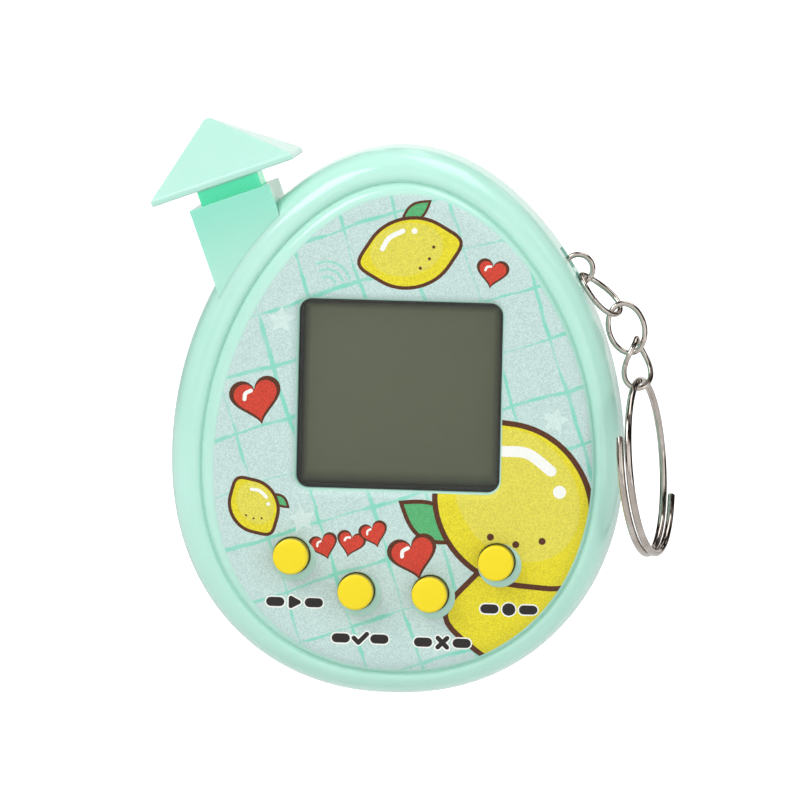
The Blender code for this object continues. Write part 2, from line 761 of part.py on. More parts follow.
def make_tower():
    size = (TOWER_WIDTH, TOWER_ROOT, TOWER_DEPTH)
    tower = block("tower_housing", size, (0, -TOWER_ROOT / 2, 0), MINT, frame=TOWER)
    core_rings = [(TOWER_CORE_INSET, 0.0), (TOWER_CORE_INSET, 2 * PARTING)]
    core = egg("tower_core", core_rings, cutter=True)
    barrel_size = (BARREL_WIDTH, BARREL_LENGTH - BARREL_ROOT, BARREL_DEPTH)
    barrel_middle = (0, -(BARREL_LENGTH + BARREL_ROOT) / 2, 0)
    barrel = block("tower_barrel", barrel_size, barrel_middle, frame=TOWER, cutter=True)
    bore_length = BORE_LENGTH + CUT_OVER
    bore_size = (NECK_WIDTH + 2 * NECK_GAP, bore_length, NECK_DEPTH + 2 * NECK_GAP)
    bore_middle = (0, bore_length / 2 - BORE_LENGTH, 0)
    bore = block("tower_bore", bore_size, bore_middle, frame=TOWER, cutter=True)
    low, high = -BARREL_LENGTH - CUT_OVER, -BORE_LENGTH + NECK_GAP
    hole = rod("pin_hole", PIN_HOLE_RADIUS, low, high, 0, 0, steps=16, frame=TOWER_AXIS, cutter=True)
    combine(tower, "DIFFERENCE", core)
    combine(tower, "UNION", barrel)
    combine(tower, "DIFFERENCE", bore, hole)


def make_roof_knob():
    """A pyramid roof on a neck, with a pin down to the switch."""
    shape = bmesh.new()
    bmesh.ops.create_cone(
        shape,
        cap_ends=True,
        segments=4,
        radius1=math.sqrt(0.5),
        radius2=math.sqrt(0.5) * ROOF_PEAK / ROOF_WIDTH,
        depth=ROOF_HEIGHT - ROOF_BAND,
        matrix=Matrix.Rotation(math.pi / 4, 4, "Z"),
    )
    bmesh.ops.scale(shape, vec=(ROOF_WIDTH, ROOF_DEPTH, 1.0), verts=shape.verts)
    base = [f for f in shape.faces if f.normal.z < -0.9]
    grown = bmesh.ops.extrude_face_region(shape, geom=base)
    moved = [v for v in grown["geom"] if isinstance(v, bmesh.types.BMVert)]
    bmesh.ops.translate(shape, vec=(0, 0, -ROOF_BAND), verts=moved)
    bmesh.ops.delete(shape, geom=base, context="FACES_ONLY")
    bmesh.ops.bevel(
        shape, geom=list(shape.edges), offset=ROOF_EDGE, segments=2, profile=0.5, affect="EDGES"
    )
    lift = Matrix.Translation((ROOF_SHIFT, 0, ROOF_BOTTOM + (ROOF_HEIGHT + ROOF_BAND) / 2))
    bmesh.ops.transform(shape, matrix=lift, verts=shape.verts)
    mesh = mesh_of("roof_knob", shape, smooth_angle=30)
    roof = add_object("roof_knob", mesh, (0, 0, 0), MINT, KNOB_AXIS)
    neck_top = ROOF_BOTTOM + UNION_DEPTH
    neck_size = (NECK_WIDTH, NECK_DEPTH, neck_top - NECK_BOTTOM)
    neck_middle = (0, 0, (neck_top + NECK_BOTTOM) / 2)
    neck = block("roof_neck", neck_size, neck_middle, corner=NECK_CORNER, frame=KNOB_AXIS, cutter=True)
    top = NECK_BOTTOM + UNION_DEPTH
    pin = rod("roof_pin", PIN_RADIUS, PIN_BOTTOM, top, 0, 0, steps=14, frame=TOWER_AXIS, cutter=True)
    combine(roof, "UNION", neck, pin)
    points = []
    coil_points = SPRING_TURNS * 8
    low = -BORE_LENGTH + SPRING_WIRE + MOUNT_GAP
    high = NECK_BOTTOM - SPRING_WIRE - MOUNT_GAP
    for i in range(coil_points + 1):
        a = 2 * math.pi * SPRING_TURNS * i / coil_points
        height = low + (high - low) * i / coil_points
        points.append((SPRING_RADIUS * math.cos(a), SPRING_RADIUS * math.sin(a), height))
    wire("knob_spring", points, SPRING_WIRE, (0, 0, 0), STEEL, frame=TOWER_AXIS)


def make_tower_switch():
    under = BOARD_BOTTOM - MOUNT_GAP - PARTING
    top = SWITCH_TOP - SWITCH_NIB_RISE
    middle = (0, top - SWITCH_SIZE[1] / 2, under - SWITCH_SIZE[2] / 2)
    switch = block("tower_switch", SWITCH_SIZE, middle, BLACK, frame=TOWER)
    nib_middle = (0, SWITCH_TOP - SWITCH_NIB[1] / 2, PIN_SHIFT)
    nib = block("switch_nib", SWITCH_NIB, nib_middle, frame=TOWER, cutter=True)
    combine(switch, "UNION", nib)


def make_chain():
    points = ring_points(JUMP_CENTRE, JUMP_RADIUS, 24)
    wire("jump_ring", points, CHAIN_WIRE, (LUG_X, LUG_UP, PARTING), NICKEL, closed=True)
    for number, (upper, lower, turn, twist) in enumerate(LINKS, 1):
        points = link_points(upper, lower, turn, twist)
        wire(f"chain_link_{number}", points, CHAIN_WIRE, upper, NICKEL, closed=True)
    wire("split_ring", split_ring_points(), RING_WIRE, RING_TOP, NICKEL)


clear_scene()
PARTS = new_collection("virtual_pet_keychain", bpy.context.scene.collection)
CUTTERS = new_collection("cutters", bpy.context.scene.collection)
FACE = new_empty("face_frame", (0, 0, 0), (math.pi / 2, 0, 0))
TOWER = new_empty("tower_frame", (TOWER_X, TOWER_UP, PARTING), (0, 0, TOWER_TILT), FACE)
# These two have z along the tower, out of the case, and y towards the back
KNOB_AXIS = new_empty("knob_axis", (0, 0, 0), (-math.pi / 2, 0, 0), TOWER)
TOWER_AXIS = new_empty("tower_axis", (0, 0, PIN_SHIFT), (-math.pi / 2, 0, 0), TOWER)

MINT = finish("mint_plastic", (0.48, 0.86, 0.74), 0.22)
YELLOW = finish("yellow_plastic", (0.96, 0.78, 0.03), 0.4)
BLACK = finish("black_plastic", (0.02, 0.02, 0.02), 0.5)
OLIVE = finish("display_glass", (0.145, 0.15, 0.1), 0.3)
CLEAR = finish("clear_plastic", (0.9, 0.9, 0.9), 0.05)
GREY_RUBBER = finish("grey_rubber", (0.25, 0.25, 0.26), 0.8)
GREEN_BOARD = finish("green_board", (0.03, 0.25, 0.08), 0.5)
TAN = finish("tan_ceramic", (0.55, 0.4, 0.22), 0.6)
WHITE = finish("white_ceramic", (0.85, 0.85, 0.82), 0.5)
STEEL = finish("steel", (0.6, 0.6, 0.6), 0.3, 1.0)
BRASS = finish("brass", (0.75, 0.55, 0.22), 0.3, 1.0)
NICKEL = finish("nickel_plate", (0.72, 0.69, 0.66), 0.16, 1.0)

make_front_shell()
make_back_shell()
make_display()
make_board()
make_buttons()
make_case_screws()
make_batteries()
make_battery_door()
make_sounder()
make_tower()
make_roof_knob()
make_tower_switch()
make_chain()
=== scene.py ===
import math

import bmesh
import bpy
import numpy as np
from mathutils import Matrix, Vector
from mathutils.geometry import delaunay_2d_cdt


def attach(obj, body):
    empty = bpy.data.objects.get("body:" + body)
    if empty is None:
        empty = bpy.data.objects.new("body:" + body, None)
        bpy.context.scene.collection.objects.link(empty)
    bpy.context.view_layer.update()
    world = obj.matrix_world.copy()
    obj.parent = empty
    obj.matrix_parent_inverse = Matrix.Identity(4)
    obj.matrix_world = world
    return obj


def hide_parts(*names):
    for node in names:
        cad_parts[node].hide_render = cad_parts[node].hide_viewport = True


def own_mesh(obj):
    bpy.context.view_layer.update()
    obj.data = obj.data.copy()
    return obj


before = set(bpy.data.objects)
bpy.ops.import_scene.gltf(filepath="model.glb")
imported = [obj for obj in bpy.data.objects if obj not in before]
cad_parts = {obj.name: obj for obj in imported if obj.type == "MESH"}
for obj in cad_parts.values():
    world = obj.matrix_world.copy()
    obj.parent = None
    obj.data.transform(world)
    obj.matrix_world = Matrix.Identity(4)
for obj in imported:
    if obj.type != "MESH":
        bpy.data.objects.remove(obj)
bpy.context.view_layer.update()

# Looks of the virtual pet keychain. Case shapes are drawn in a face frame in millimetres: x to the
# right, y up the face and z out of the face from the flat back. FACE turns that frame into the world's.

MM = 0.001
FACE = Matrix.Scale(MM, 4) @ Matrix.Rotation(math.pi / 2, 4, "X")

# Case outline and heights
HALF_WIDTH = 26.9
WIDEST_UP = -4.5
UPPER_REACH = 37.0
LOWER_REACH = 28.25
LOWER_POWER = 2.15
UPPER_TAPER = 0.08
CASE_STEPS = 240
PARTING = 9.0
SEAM = 0.15
PLATEAU_TOP = 17.2
INSIDE_TOP = 15.5
WALL = 1.7

# The rim and the plateau sit to the right of the outline and below it, by this much at this inset
FACE_SHIFT = Vector((0.57, -0.57))
FULL_SHIFT_INSET = 3.0
GROOVE_INSET = 3.5

# (inset from the outline, height) along each profile
FRONT_PROFILE = [
    (0.12, PARTING + SEAM / 2), (0.0, PARTING + SEAM), (0.02, 10.0), (0.07, 11.5), (0.25, 13.0),
    (0.75, 14.6), (1.5, 15.65), (2.4, 16.2), (3.1, 16.25), (GROOVE_INSET, 15.95), (3.75, 16.4),
    (4.2, 16.85), (4.8, 17.1), (5.4, 17.19), (6.0, PLATEAU_TOP),
]
FRONT_CAVITY = [(WALL, PARTING - 1.0), (1.8, 13.2), (2.8, 14.9), (4.2, INSIDE_TOP)]
BACK_PROFILE = [
    (0.12, PARTING - SEAM / 2), (0.0, PARTING - SEAM), (0.05, 6.6), (0.35, 4.3), (1.2, 2.2),
    (2.8, 0.8), (4.8, 0.15), (6.6, 0.0),
]
BACK_CAVITY = [(WALL, PARTING + 1.0), (1.9, 4.8), (3.2, 2.7), (5.4, 1.6)]
TONGUE_INSET = 0.85
TONGUE_HEIGHT = 0.6

# Window and buttons
WINDOW = (24.2, 22.5, 1.5)
WINDOW_CENTRE = (0.6, 3.17)
WINDOW_ROUND = 1.0
BUTTONS = [(-11.7, -16.15), (-3.9, -20.15), (4.9, -20.2), (12.7, -16.2)]
KEY_MAT_CENTRE = (0.5, -18.2)
KEY_MAT = (31.0, 10.2, 2.0)
KEY_MAT_HEIGHTS = (10.1, 10.9)
HOLE_RADIUS = 2.2
HOLE_ROUND = 0.16
CAP_RADIUS = 2.1
CAP_EDGE = 0.35
CAP_TOP = 19.5
# Height on a cap's wall below which its painted shade is full
CAP_FULL_SHADE_HEIGHT = 18.6
CAP_FLANGE = (2.8, 14.6, 15.4)
CUT_OVER = 0.004

# Back, with the radii of the screws' posts and holes
SCREWS = {"top": (0.0, 25.0), "bottom": (0.0, -27.3), "left": (-20.5, -4.0), "right": (20.5, -4.0)}
POST, SLEEVE, BOSS = 2.2, 3.1, 2.6
PILOT, CLEARANCE, COUNTERBORE = 0.8, 1.1, 2.1
DOOR = (31.2, 14.6, 2.0)
DOOR_CENTRE = (0.0, -11.5)
DOOR_GAP = 0.2
DOOR_THICKNESS = 1.4
DOOR_LEDGE = 1.5
DOOR_SCREW = (13.1, -11.5)
TRAY_HEIGHTS = (1.1, 8.55)
CELL_ROOM = (24.6, 12.6, 1.0)
CELL_ROOM_CENTRE = (-2.3, -11.5)
CELL_ROOM_TOP = 7.75
SOUND_CENTRE = (0.0, 14.5)
SOUND_REACH = 2.4
EDGE_ROUND = 0.18

# Tower frame: its middle is on the tower's top, y out of the case
TOWER_TILT = math.radians(20.5)
TOWER_SIZE = (10.0, 13.0, 12.5)
TOWER = FACE @ Matrix.Translation((-20.3, 26.0, PARTING)) @ Matrix.Rotation(TOWER_TILT, 4, "Z")
PIN_AXIS = TOWER @ Matrix.Translation((0, 0, -1.4)) @ Matrix.Rotation(-math.pi / 2, 4, "X")

# Chain, as centrelines in the face frame
LUG = (20.25, 17.9)
LUG_POCKET = (5.4, 5.0, 3.4)
LUG_RADIUS = 0.5
CHAIN_WIRE = 0.325
RING_WIRE = 0.43
SPRING_WIRE = 0.17
JUMP_RING = (21.0, 18.3, 1.7)
LINK_WIDTH = 4.24
LINKS = [
    ((21.4, 17.6, 9.2), (25.9, 13.2, 9.55), math.radians(21), math.radians(23)),
    ((26.05, 14.27, 9.37), (27.8, 8.58, 9.8), math.radians(90), math.radians(16)),
    ((28.2, 10.3, 10.1), (28.5, 4.4, 10.75), math.radians(36), math.radians(74)),
]


# ------------ materials


def colour(red, green, blue):
    """A screen colour as the linear values that shaders take."""
    def linear(value):
        share = value / 255
        return share / 12.92 if share <= 0.04045 else ((share + 0.055) / 1.055) ** 2.4

    return (linear(red), linear(green), linear(blue), 1.0)


class Nodes:
    """Short calls that add shader nodes to a tree."""

    def __init__(self, tree):
        self.tree = tree

    def put(self, socket, value):
        if isinstance(value, bpy.types.NodeSocket):
            self.tree.links.new(value, socket)
        else:
            socket.default_value = value

    def node(self, kind, inputs=None, **settings):
        """A node with its settings, and each input either set or linked."""
        made = self.tree.nodes.new("ShaderNode" + kind)
        for key, value in settings.items():
            setattr(made, key, value)
        for key, value in (inputs or {}).items():
            self.put(made.inputs[key], value)
        return made

    def math(self, operation, *values):
        return self.node("Math", dict(enumerate(values)), operation=operation).outputs[0]

    def times(self, first, second):
        return self.math("MULTIPLY", first, second)

    def less(self, first, second):
        return self.math("SUBTRACT", first, second)

    def spread(self, value, low, high, start=0.0, end=1.0, **settings):
        """The value mapped from start..end to low..high and kept within."""
        inputs = {"Value": value, "From Min": start, "From Max": end, "To Min": low, "To Max": high}
        return self.node("MapRange", inputs, **settings).outputs[0]

    def mix(self, share, first, second):
        return self.node("Mix", {0: share, 6: first, 7: second}, data_type="RGBA").outputs[2]


class Finish(Nodes):
    """A material under construction."""

    def __init__(self, name):
        self.material = bpy.data.materials.new(name)
        self.material.use_nodes = True
        super().__init__(self.material.node_tree)
        self.shader = self.tree.nodes["Principled BSDF"]
        self.place = self.node("TexCoord").outputs["Object"]

    def set(self, **values):
        for key, value in values.items():
            self.put(self.shader.inputs[key.replace("_", " ")], value)

    def sides(self):
        """The place's x, y and z."""
        return self.node("SeparateXYZ", {0: self.place}).outputs

    def noise(self, size, detail=2.0, place=None, rough=0.5):
        """Noise from 0 to 1 whose patches are about this many millimetres across."""
        inputs = {"Vector": place or self.place, "Scale": 1 / (size * MM), "Detail": detail}
        inputs["Roughness"] = rough
        return self.node("TexNoise", inputs).outputs["Fac"]

    def stretch(self, scale, turn=(0, 0, 0)):
        return self.node("Mapping", {"Vector": self.place, "Scale": scale, "Rotation": turn}).outputs[0]

    def bump(self, height, depth, below=None):
        inputs = {"Height": height, "Distance": depth * MM, "Strength": 1.0}
        if below:
            inputs["Normal"] = below
        return self.node("Bump", inputs).outputs[0]


def moulded(name, light, dark, rough, depth=0.004, soft=0.0, coat=0.0, deep=None):
    """Moulded plastic: slow colour drift, faint flow marks, orange peel and handling smears.

    deep is (a function that gives a share from 0 to 1, a deeper colour, how much it glows): painted shade
    and a painted glow where the share is high, standing in for shadow and for light that goes through a thin
    wall.
    """
    made = Finish(name)
    drift = made.noise(14.0, 3.0)
    flow = made.noise(3.0, 4.0, made.stretch((1.0, 1.0, 0.25), (0, 0.5, 0.3)))
    share = made.math("ADD", made.times(drift, 0.7), made.times(flow, 0.3))
    tint = made.mix(made.spread(share, 0.0, 1.0, 0.3, 0.7), light, dark)
    smear = made.spread(made.noise(6.0, 5.0, rough=0.65), rough * 0.85, rough * 1.3, 0.35, 0.75)
    peel = made.bump(made.noise(0.9, 2.0), depth)
    fine = made.bump(made.noise(0.12, 2.0), depth * 0.25, below=peel)
    if deep:
        # Painted shade and glow: the deeper colour is mixed in by the share and made to glow by it.
        share = deep[0](made)
        tint = made.mix(share, tint, deep[1])
        made.set(Emission_Color=deep[1], Emission_Strength=made.times(share, deep[2]))
    made.set(Base_Color=tint, Roughness=smear, Normal=fine, Coat_Weight=coat, Coat_Roughness=0.07)
    if soft:
        made.set(Subsurface_Weight=soft, Subsurface_Radius=(0.6, 1.0, 0.9), Subsurface_Scale=MM)
    return made.material


def tower_share(made, none, full):
    """0 at one height along the tower and 1 at another, in millimetres above the tower's top."""
    sides = made.sides()
    origin = TOWER.translation
    across = made.times(made.less(sides[0], origin.x), -math.sin(TOWER_TILT))
    along = made.times(made.less(sides[2], origin.z), math.cos(TOWER_TILT))
    low, high, start, end = (1.0, 0.0, full, none) if none > full else (0.0, 1.0, none, full)
    return made.spread(made.math("ADD", across, along), low, high, start * MM, end * MM)


# Share of painted glow in the knob's neck: full up to 1.5 mm above the tower's top, gone by 1.84 mm.
def neck_glow_share(made):
    return tower_share(made, 1.84, 1.5)


# Share of painted shade on the tower: it grows from 9 mm below the tower's top to 1 mm above it, standing in
# for the roof's shadow.
def shaded_top_share(made):
    return tower_share(made, -9.0, 1.0)


def cap_finish():
    """The caps' satin yellow, with a painted shade: a dark olive on the wall that goes down into the case."""
    made = Finish("yellow_plastic")
    up = made.times(made.sides()[1], -1.0)
    wall = made.spread(up, 1.0, 0.0, CAP_FULL_SHADE_HEIGHT * MM, (CAP_TOP - 0.25) * MM)
    tint = made.mix(made.noise(6.0, 2.0), colour(246, 224, 8), colour(242, 214, 4))
    # Painted shade: the side wall turns dark olive from just under the rounded edge down to the height of
    # full shade.
    made.set(Base_Color=made.mix(wall, tint, colour(150, 132, 6)), Roughness=0.4)
    made.set(Normal=made.bump(made.noise(0.35, 2.0), 0.006))
    return made.material


def dusty(name, light, dark, patch, rough, grain, depth, gloss):
    """Matt rubber or ceramic: cloudy patches in two tints over a fine grain."""
    made = Finish(name)
    cloud = made.noise(patch, 5.0, rough=0.7)
    made.set(Base_Color=made.mix(cloud, light, dark), Roughness=made.spread(cloud, *rough))
    made.set(Normal=made.bump(made.noise(grain, 3.0), depth), Specular_IOR_Level=gloss)
    return made.material


def rubber(name, light, dark):
    return dusty(name, light, dark, 0.5, (0.6, 0.85), 0.15, 0.01, 0.3)


def ceramic(name, light, dark):
    return dusty(name, light, dark, 1.2, (0.45, 0.7), 0.1, 0.006, 0.5)


def metal(name, light, dark, rough, scratch=0.5):
    """Plated or rolled metal: fine drawn scratches, a cloudy polish and small stains."""
    made = Finish(name)
    drawn = made.noise(0.5, 4.0, made.stretch((1.0, 1.0, 0.08), (0.6, 0.3, 0)))
    cloud = made.noise(2.2, 4.0, rough=0.6)
    tint = made.mix(made.spread(cloud, 0.0, 1.0, 0.35, 0.7), light, dark)
    polish = made.math("ADD", made.spread(cloud, rough * 0.7, rough * 1.5, 0.3, 0.7),
                       made.times(drawn, rough * scratch))
    made.set(Base_Color=tint, Roughness=polish, Metallic=1.0)
    made.set(Normal=made.bump(drawn, 0.003 * scratch))
    return made.material


def speckle(made):
    """The sandy grain of the ink, from 0 to 1."""
    return made.spread(made.noise(0.17, 1.0, rough=0.6), 0.0, 1.0, 0.34, 0.66)


INK_ROUGH = 0.42


def ink_finish(made, tint):
    """A sprayed ink film over the plastic: matt, sandy, with a few glittering grains."""
    grain = speckle(made)
    glitter = made.spread(made.noise(0.12, 0.0), 0.0, 1.0, 0.68, 0.74)
    made.set(Base_Color=tint, Specular_IOR_Level=0.4)
    made.set(Roughness=made.less(made.spread(grain, INK_ROUGH * 0.85, INK_ROUGH * 1.2),
                                 made.times(glitter, INK_ROUGH * 0.5)))
    made.set(Normal=made.bump(grain, 0.012))
    return made.material


def ink(name, base, drift):
    made = Finish(name)
    light = [min(1.0, channel * (1 + drift)) for channel in base[:3]] + [1.0]
    dark = [channel * (1 - drift) for channel in base[:3]] + [1.0]
    return ink_finish(made, made.mix(speckle(made), dark, light))


GRID_TURN = math.radians(18.5)
GRID_PITCH = 6.5
GRID_CROSSING = (-6.35, 22.8)
GRID_LINE = (0.13, 0.32)


def tiled_ground():
    """The print's pale ground with a hand-drawn tile grid in a soft crayon line."""
    made = Finish("ink_ground")
    sides = made.sides()
    wobble = made.times(made.less(made.noise(9.0, 2.0), 0.5), 1.4 * MM)
    lines = []
    for turn in (GRID_TURN, GRID_TURN + math.pi / 2):
        across = made.math("ADD", made.times(sides[0], -math.sin(turn)),
                           made.times(sides[2], math.cos(turn)))
        start = -GRID_CROSSING[0] * math.sin(turn) + GRID_CROSSING[1] * math.cos(turn)
        moved = made.less(made.math("ADD", across, wobble), start * MM)
        turns = made.math("DIVIDE", moved, GRID_PITCH * MM)
        near = made.math("ABSOLUTE", made.less(turns, made.math("ROUND", turns)))
        lines.append(made.times(near, GRID_PITCH))
    nearest = made.math("MINIMUM", *lines)
    crayon = made.times(made.noise(0.3, 3.0, rough=0.8), 0.4)
    half = made.spread(made.noise(5.0, 1.0), *GRID_LINE, 0.38, 0.62)
    beyond = made.less(made.math("ADD", nearest, crayon), half)
    drawn = made.spread(beyond, 1.0, 0.0, 0.06, 0.2)
    pressed = made.times(drawn, made.spread(made.noise(2.5, 2.0), 0.68, 1.0, 0.35, 0.6))
    wash = made.mix(made.noise(7.0, 2.0), colour(198, 223, 218), colour(187, 217, 211))
    grain = made.mix(speckle(made), colour(168, 195, 191), colour(216, 235, 232))
    ground = made.mix(0.55, wash, grain)
    return ink_finish(made, made.mix(pressed, ground, colour(132, 214, 192)))


DISPLAY_HALF = (11.7, 10.75)


def display_glass():
    """The reflective display's olive ground, with painted shade along the edge of its active area and painted
    light that makes it lighter towards the upper left.
    """
    made = Finish("display_glass")
    sides = made.sides()
    half_wide, half_high = DISPLAY_HALF
    across = made.less(sides[0], WINDOW_CENTRE[0] * MM)
    aside = made.less(half_wide * MM, made.math("ABSOLUTE", across))
    above = made.less((WINDOW_CENTRE[1] + half_high) * MM, sides[2])
    under = made.less(sides[2], (WINDOW_CENTRE[1] - half_high) * MM)
    edge = made.math("MINIMUM", made.math("MINIMUM", aside, above), made.times(under, 0.6))
    # Painted shade: near black at the active area's edge, reaching further in along the bottom.
    shade = made.math("POWER", made.spread(edge, 0.0, 1.0, -0.1 * MM, 0.9 * MM), 0.6)
    slant = made.less(sides[2], made.times(across, 0.6))
    # Painted light: the ground is lighter towards the top and the left, with cloudy patches over that.
    lit = made.spread(slant, 0.0, 1.0, -9.0 * MM, 16.0 * MM)
    cloudy = made.math("ADD", lit, made.times(made.less(made.noise(7.0), 0.5), 0.25))
    body = made.mix(cloudy, colour(131, 135, 111), colour(142, 145, 123))
    made.set(Base_Color=made.mix(shade, colour(24, 24, 20), body), Specular_IOR_Level=0.15)
    made.set(Roughness=made.spread(made.noise(1.0, 3.0), 0.4, 0.46))
    return made.material


def clear_lens():
    """Thin clear plastic: it lets light straight through and mirrors a little of the room."""
    made = Finish("clear_lens")
    tree = made.tree
    smear = made.spread(made.noise(5.0, 5.0, rough=0.65), 0.02, 0.10, 0.4, 0.8)
    gloss = made.node("BsdfGlossy", {"Color": (1, 1, 1, 1), "Roughness": smear})
    through = made.node("BsdfTransparent", {"Color": (0.965, 0.975, 0.955, 1)})
    facing = made.node("Fresnel", {"IOR": 1.4})
    both = made.node("MixShader", {0: facing.outputs[0], 1: through.outputs[0], 2: gloss.outputs[0]})
    tree.links.new(both.outputs[0], tree.nodes["Material Output"].inputs["Surface"])
    tree.nodes.remove(made.shader)
    return made.material


def circuit_board():
    """Green solder mask over faint copper tracks."""
    made = Finish("circuit_board")
    grid = made.node("TexBrick", {"Vector": made.stretch((1, 1, 1), (math.pi / 2, 0, 0)),
                                  "Scale": 1 / (3.0 * MM), "Mortar Size": 0.04}, offset=0.37)
    track = made.spread(grid.outputs["Fac"], 0.0, 1.0)
    mask = made.mix(made.noise(4.0, 3.0), colour(20, 92, 48), colour(28, 110, 58))
    made.set(Base_Color=made.mix(track, mask, colour(58, 140, 76)), Roughness=0.35)
    made.set(Normal=made.bump(track, 0.02))
    return made.material


MINT = moulded("mint_plastic", colour(188, 233, 219), colour(181, 229, 213), 0.2, soft=0.25, coat=0.3)
# The tower uses a slightly deeper green copy of the mint. It darkens towards its top into a painted shade
# under the roof, with a faint painted glow.
MINT_TOWER = moulded("mint_tower", colour(182, 234, 217), colour(176, 230, 212), 0.2, soft=0.25, coat=0.2,
                     deep=(shaded_top_share, colour(140, 222, 198), 0.02))
# The knob uses a slightly darker copy of the mint as painted shade. Its neck glows a saturated green, a
# painted light standing in for light through thin plastic.
MINT_KNOB = moulded("mint_knob", colour(183, 227, 214), colour(177, 223, 208), 0.2, soft=0.25, coat=0.2,
                    deep=(neck_glow_share, colour(96, 236, 190), 0.32))
YELLOW = cap_finish()
BLACK = moulded("black_plastic", colour(22, 22, 23), colour(32, 32, 33), 0.45, 0.006)
RUBBER = rubber("grey_rubber", colour(128, 130, 132), colour(104, 106, 110))
ZEBRA = rubber("zebra_rubber", colour(196, 120, 150), colour(60, 58, 60))
DISPLAY = display_glass()
LENS = clear_lens()
BOARD = circuit_board()
TAN = ceramic("tan_ceramic", colour(190, 158, 112), colour(170, 136, 92))
WHITE = ceramic("white_ceramic", colour(238, 236, 228), colour(216, 214, 204))
NICKEL = metal("nickel_plate", colour(205, 197, 190), colour(176, 166, 157), 0.07, 0.3)
STEEL = metal("steel", colour(205, 204, 202), colour(172, 170, 168), 0.26, 0.8)
BRASS = metal("brass", colour(216, 184, 112), colour(188, 150, 84), 0.25, 0.8)

INKS = {
    "ground": tiled_ground(),
    "pale": ink("ink_pale", colour(207, 229, 224), 0.08),
    "teal": ink("ink_teal", colour(150, 218, 198), 0.08),
    "brown": ink("ink_brown", colour(86, 42, 16), 0.25),
    "shade": ink("ink_yellow_shade", colour(226, 213, 36), 0.13),
    "yellow": ink("ink_yellow", colour(222, 213, 80), 0.12),
    "red": ink("ink_red", colour(205, 62, 42), 0.16),
    "green": ink("ink_green", colour(86, 176, 112), 0.12),
    "white": ink("ink_white", colour(244, 246, 240), 0.03),
    "black": ink("ink_black", colour(34, 28, 28), 0.3),
}


# ------------ solids


def solid(name, shape, matrix):
    """A closed mesh drawn in millimetres, put in the world by a frame's matrix."""
    bmesh.ops.recalc_face_normals(shape, faces=shape.faces)
    shape.transform(matrix)
    mesh = bpy.data.meshes.new(name)
    shape.to_mesh(mesh)
    shape.free()
    made = bpy.data.objects.new(name, mesh)
    bpy.context.scene.collection.objects.link(made)
    return made


def loft(name, loops, matrix=FACE):
    """A solid through loops of equal length, capped at both ends."""
    shape = bmesh.new()
    rows = [[shape.verts.new(point) for point in loop] for loop in loops]
    count = len(rows[0])
    for low, high in zip(rows, rows[1:]):
        for i in range(count):
            j = (i + 1) % count
            shape.faces.new((low[i], low[j], high[j], high[i]))
    shape.faces.new(rows[0])
    shape.faces.new(rows[-1])
    return solid(name, shape, matrix)


def round_turns(count):
    """The angles of a full turn in equal steps."""
    return [2 * math.pi * i / count for i in range(count)]


def circle(radius, height, centre=(0.0, 0.0), steps=48):
    x, y = centre
    return [(x + radius * math.cos(a), y + radius * math.sin(a), height) for a in round_turns(steps)]


def turned(name, profile, centre=(0.0, 0.0), matrix=FACE, steps=48):
    """A solid of revolution through (radius, height) pairs."""
    return loft(name, [circle(radius, height, centre, steps) for radius, height in profile], matrix)


def rod(name, radius, low, high, centre):
    return turned(name, [(radius, low), (radius, high)], centre)


def rounded_rect(size, grown, height, centre, steps=10):
    """A rectangle (width, height, corner radius) grown all round, as one loop."""
    corner = size[2] + grown
    wide, high = size[0] / 2 + grown - corner, size[1] / 2 + grown - corner
    loop = []
    for quarter, (side, end) in enumerate(((1, 1), (-1, 1), (-1, -1), (1, -1))):
        for i in range(steps + 1):
            a = math.pi / 2 * (quarter + i / steps)
            x = centre[0] + side * wide + corner * math.cos(a)
            loop.append((x, centre[1] + end * high + corner * math.sin(a), height))
    return loop


def quarter_round(radius, level, inwards, steps=8):
    """(outward shift, height) from a hole's wall up a rounded edge to just past a face at level.

    inwards is +1 where the face looks along +z and -1 where it looks along -z.
    """
    pairs = []
    for i in range(steps + 1):
        a = math.pi / 2 * i / steps
        pairs.append((radius * (1 - math.cos(a)), level + inwards * (CUT_OVER - radius * (1 - math.sin(a)))))
    return pairs


def round_hole(name, radius, centre, far, level, side, edge=EDGE_ROUND, steps=48):
    """The cutter of a round hole with a rounded mouth in a face at level."""
    profile = [(radius, far)] + [(radius + out, z) for out, z in quarter_round(edge, level, side)]
    return turned(name, profile, centre, steps=steps)


def rect_hole(name, size, centre, far, level, side, edge=EDGE_ROUND):
    """The cutter of a rectangular hole with a rounded mouth in a face at level."""
    mouth = [rounded_rect(size, out, z, centre) for out, z in quarter_round(edge, level, side)]
    return loft(name, [rounded_rect(size, 0.0, far, centre)] + mouth)


def block(name, size, centre, edge=0.0, matrix=FACE):
    """A box with all its edges rounded."""
    shape = bmesh.new()
    bmesh.ops.create_cube(shape, size=1.0)
    bmesh.ops.scale(shape, vec=size, verts=shape.verts)
    if edge:
        bmesh.ops.bevel(shape, geom=list(shape.edges), offset=edge, segments=3, profile=0.5, affect="EDGES")
    bmesh.ops.translate(shape, vec=centre, verts=shape.verts)
    return solid(name, shape, matrix)


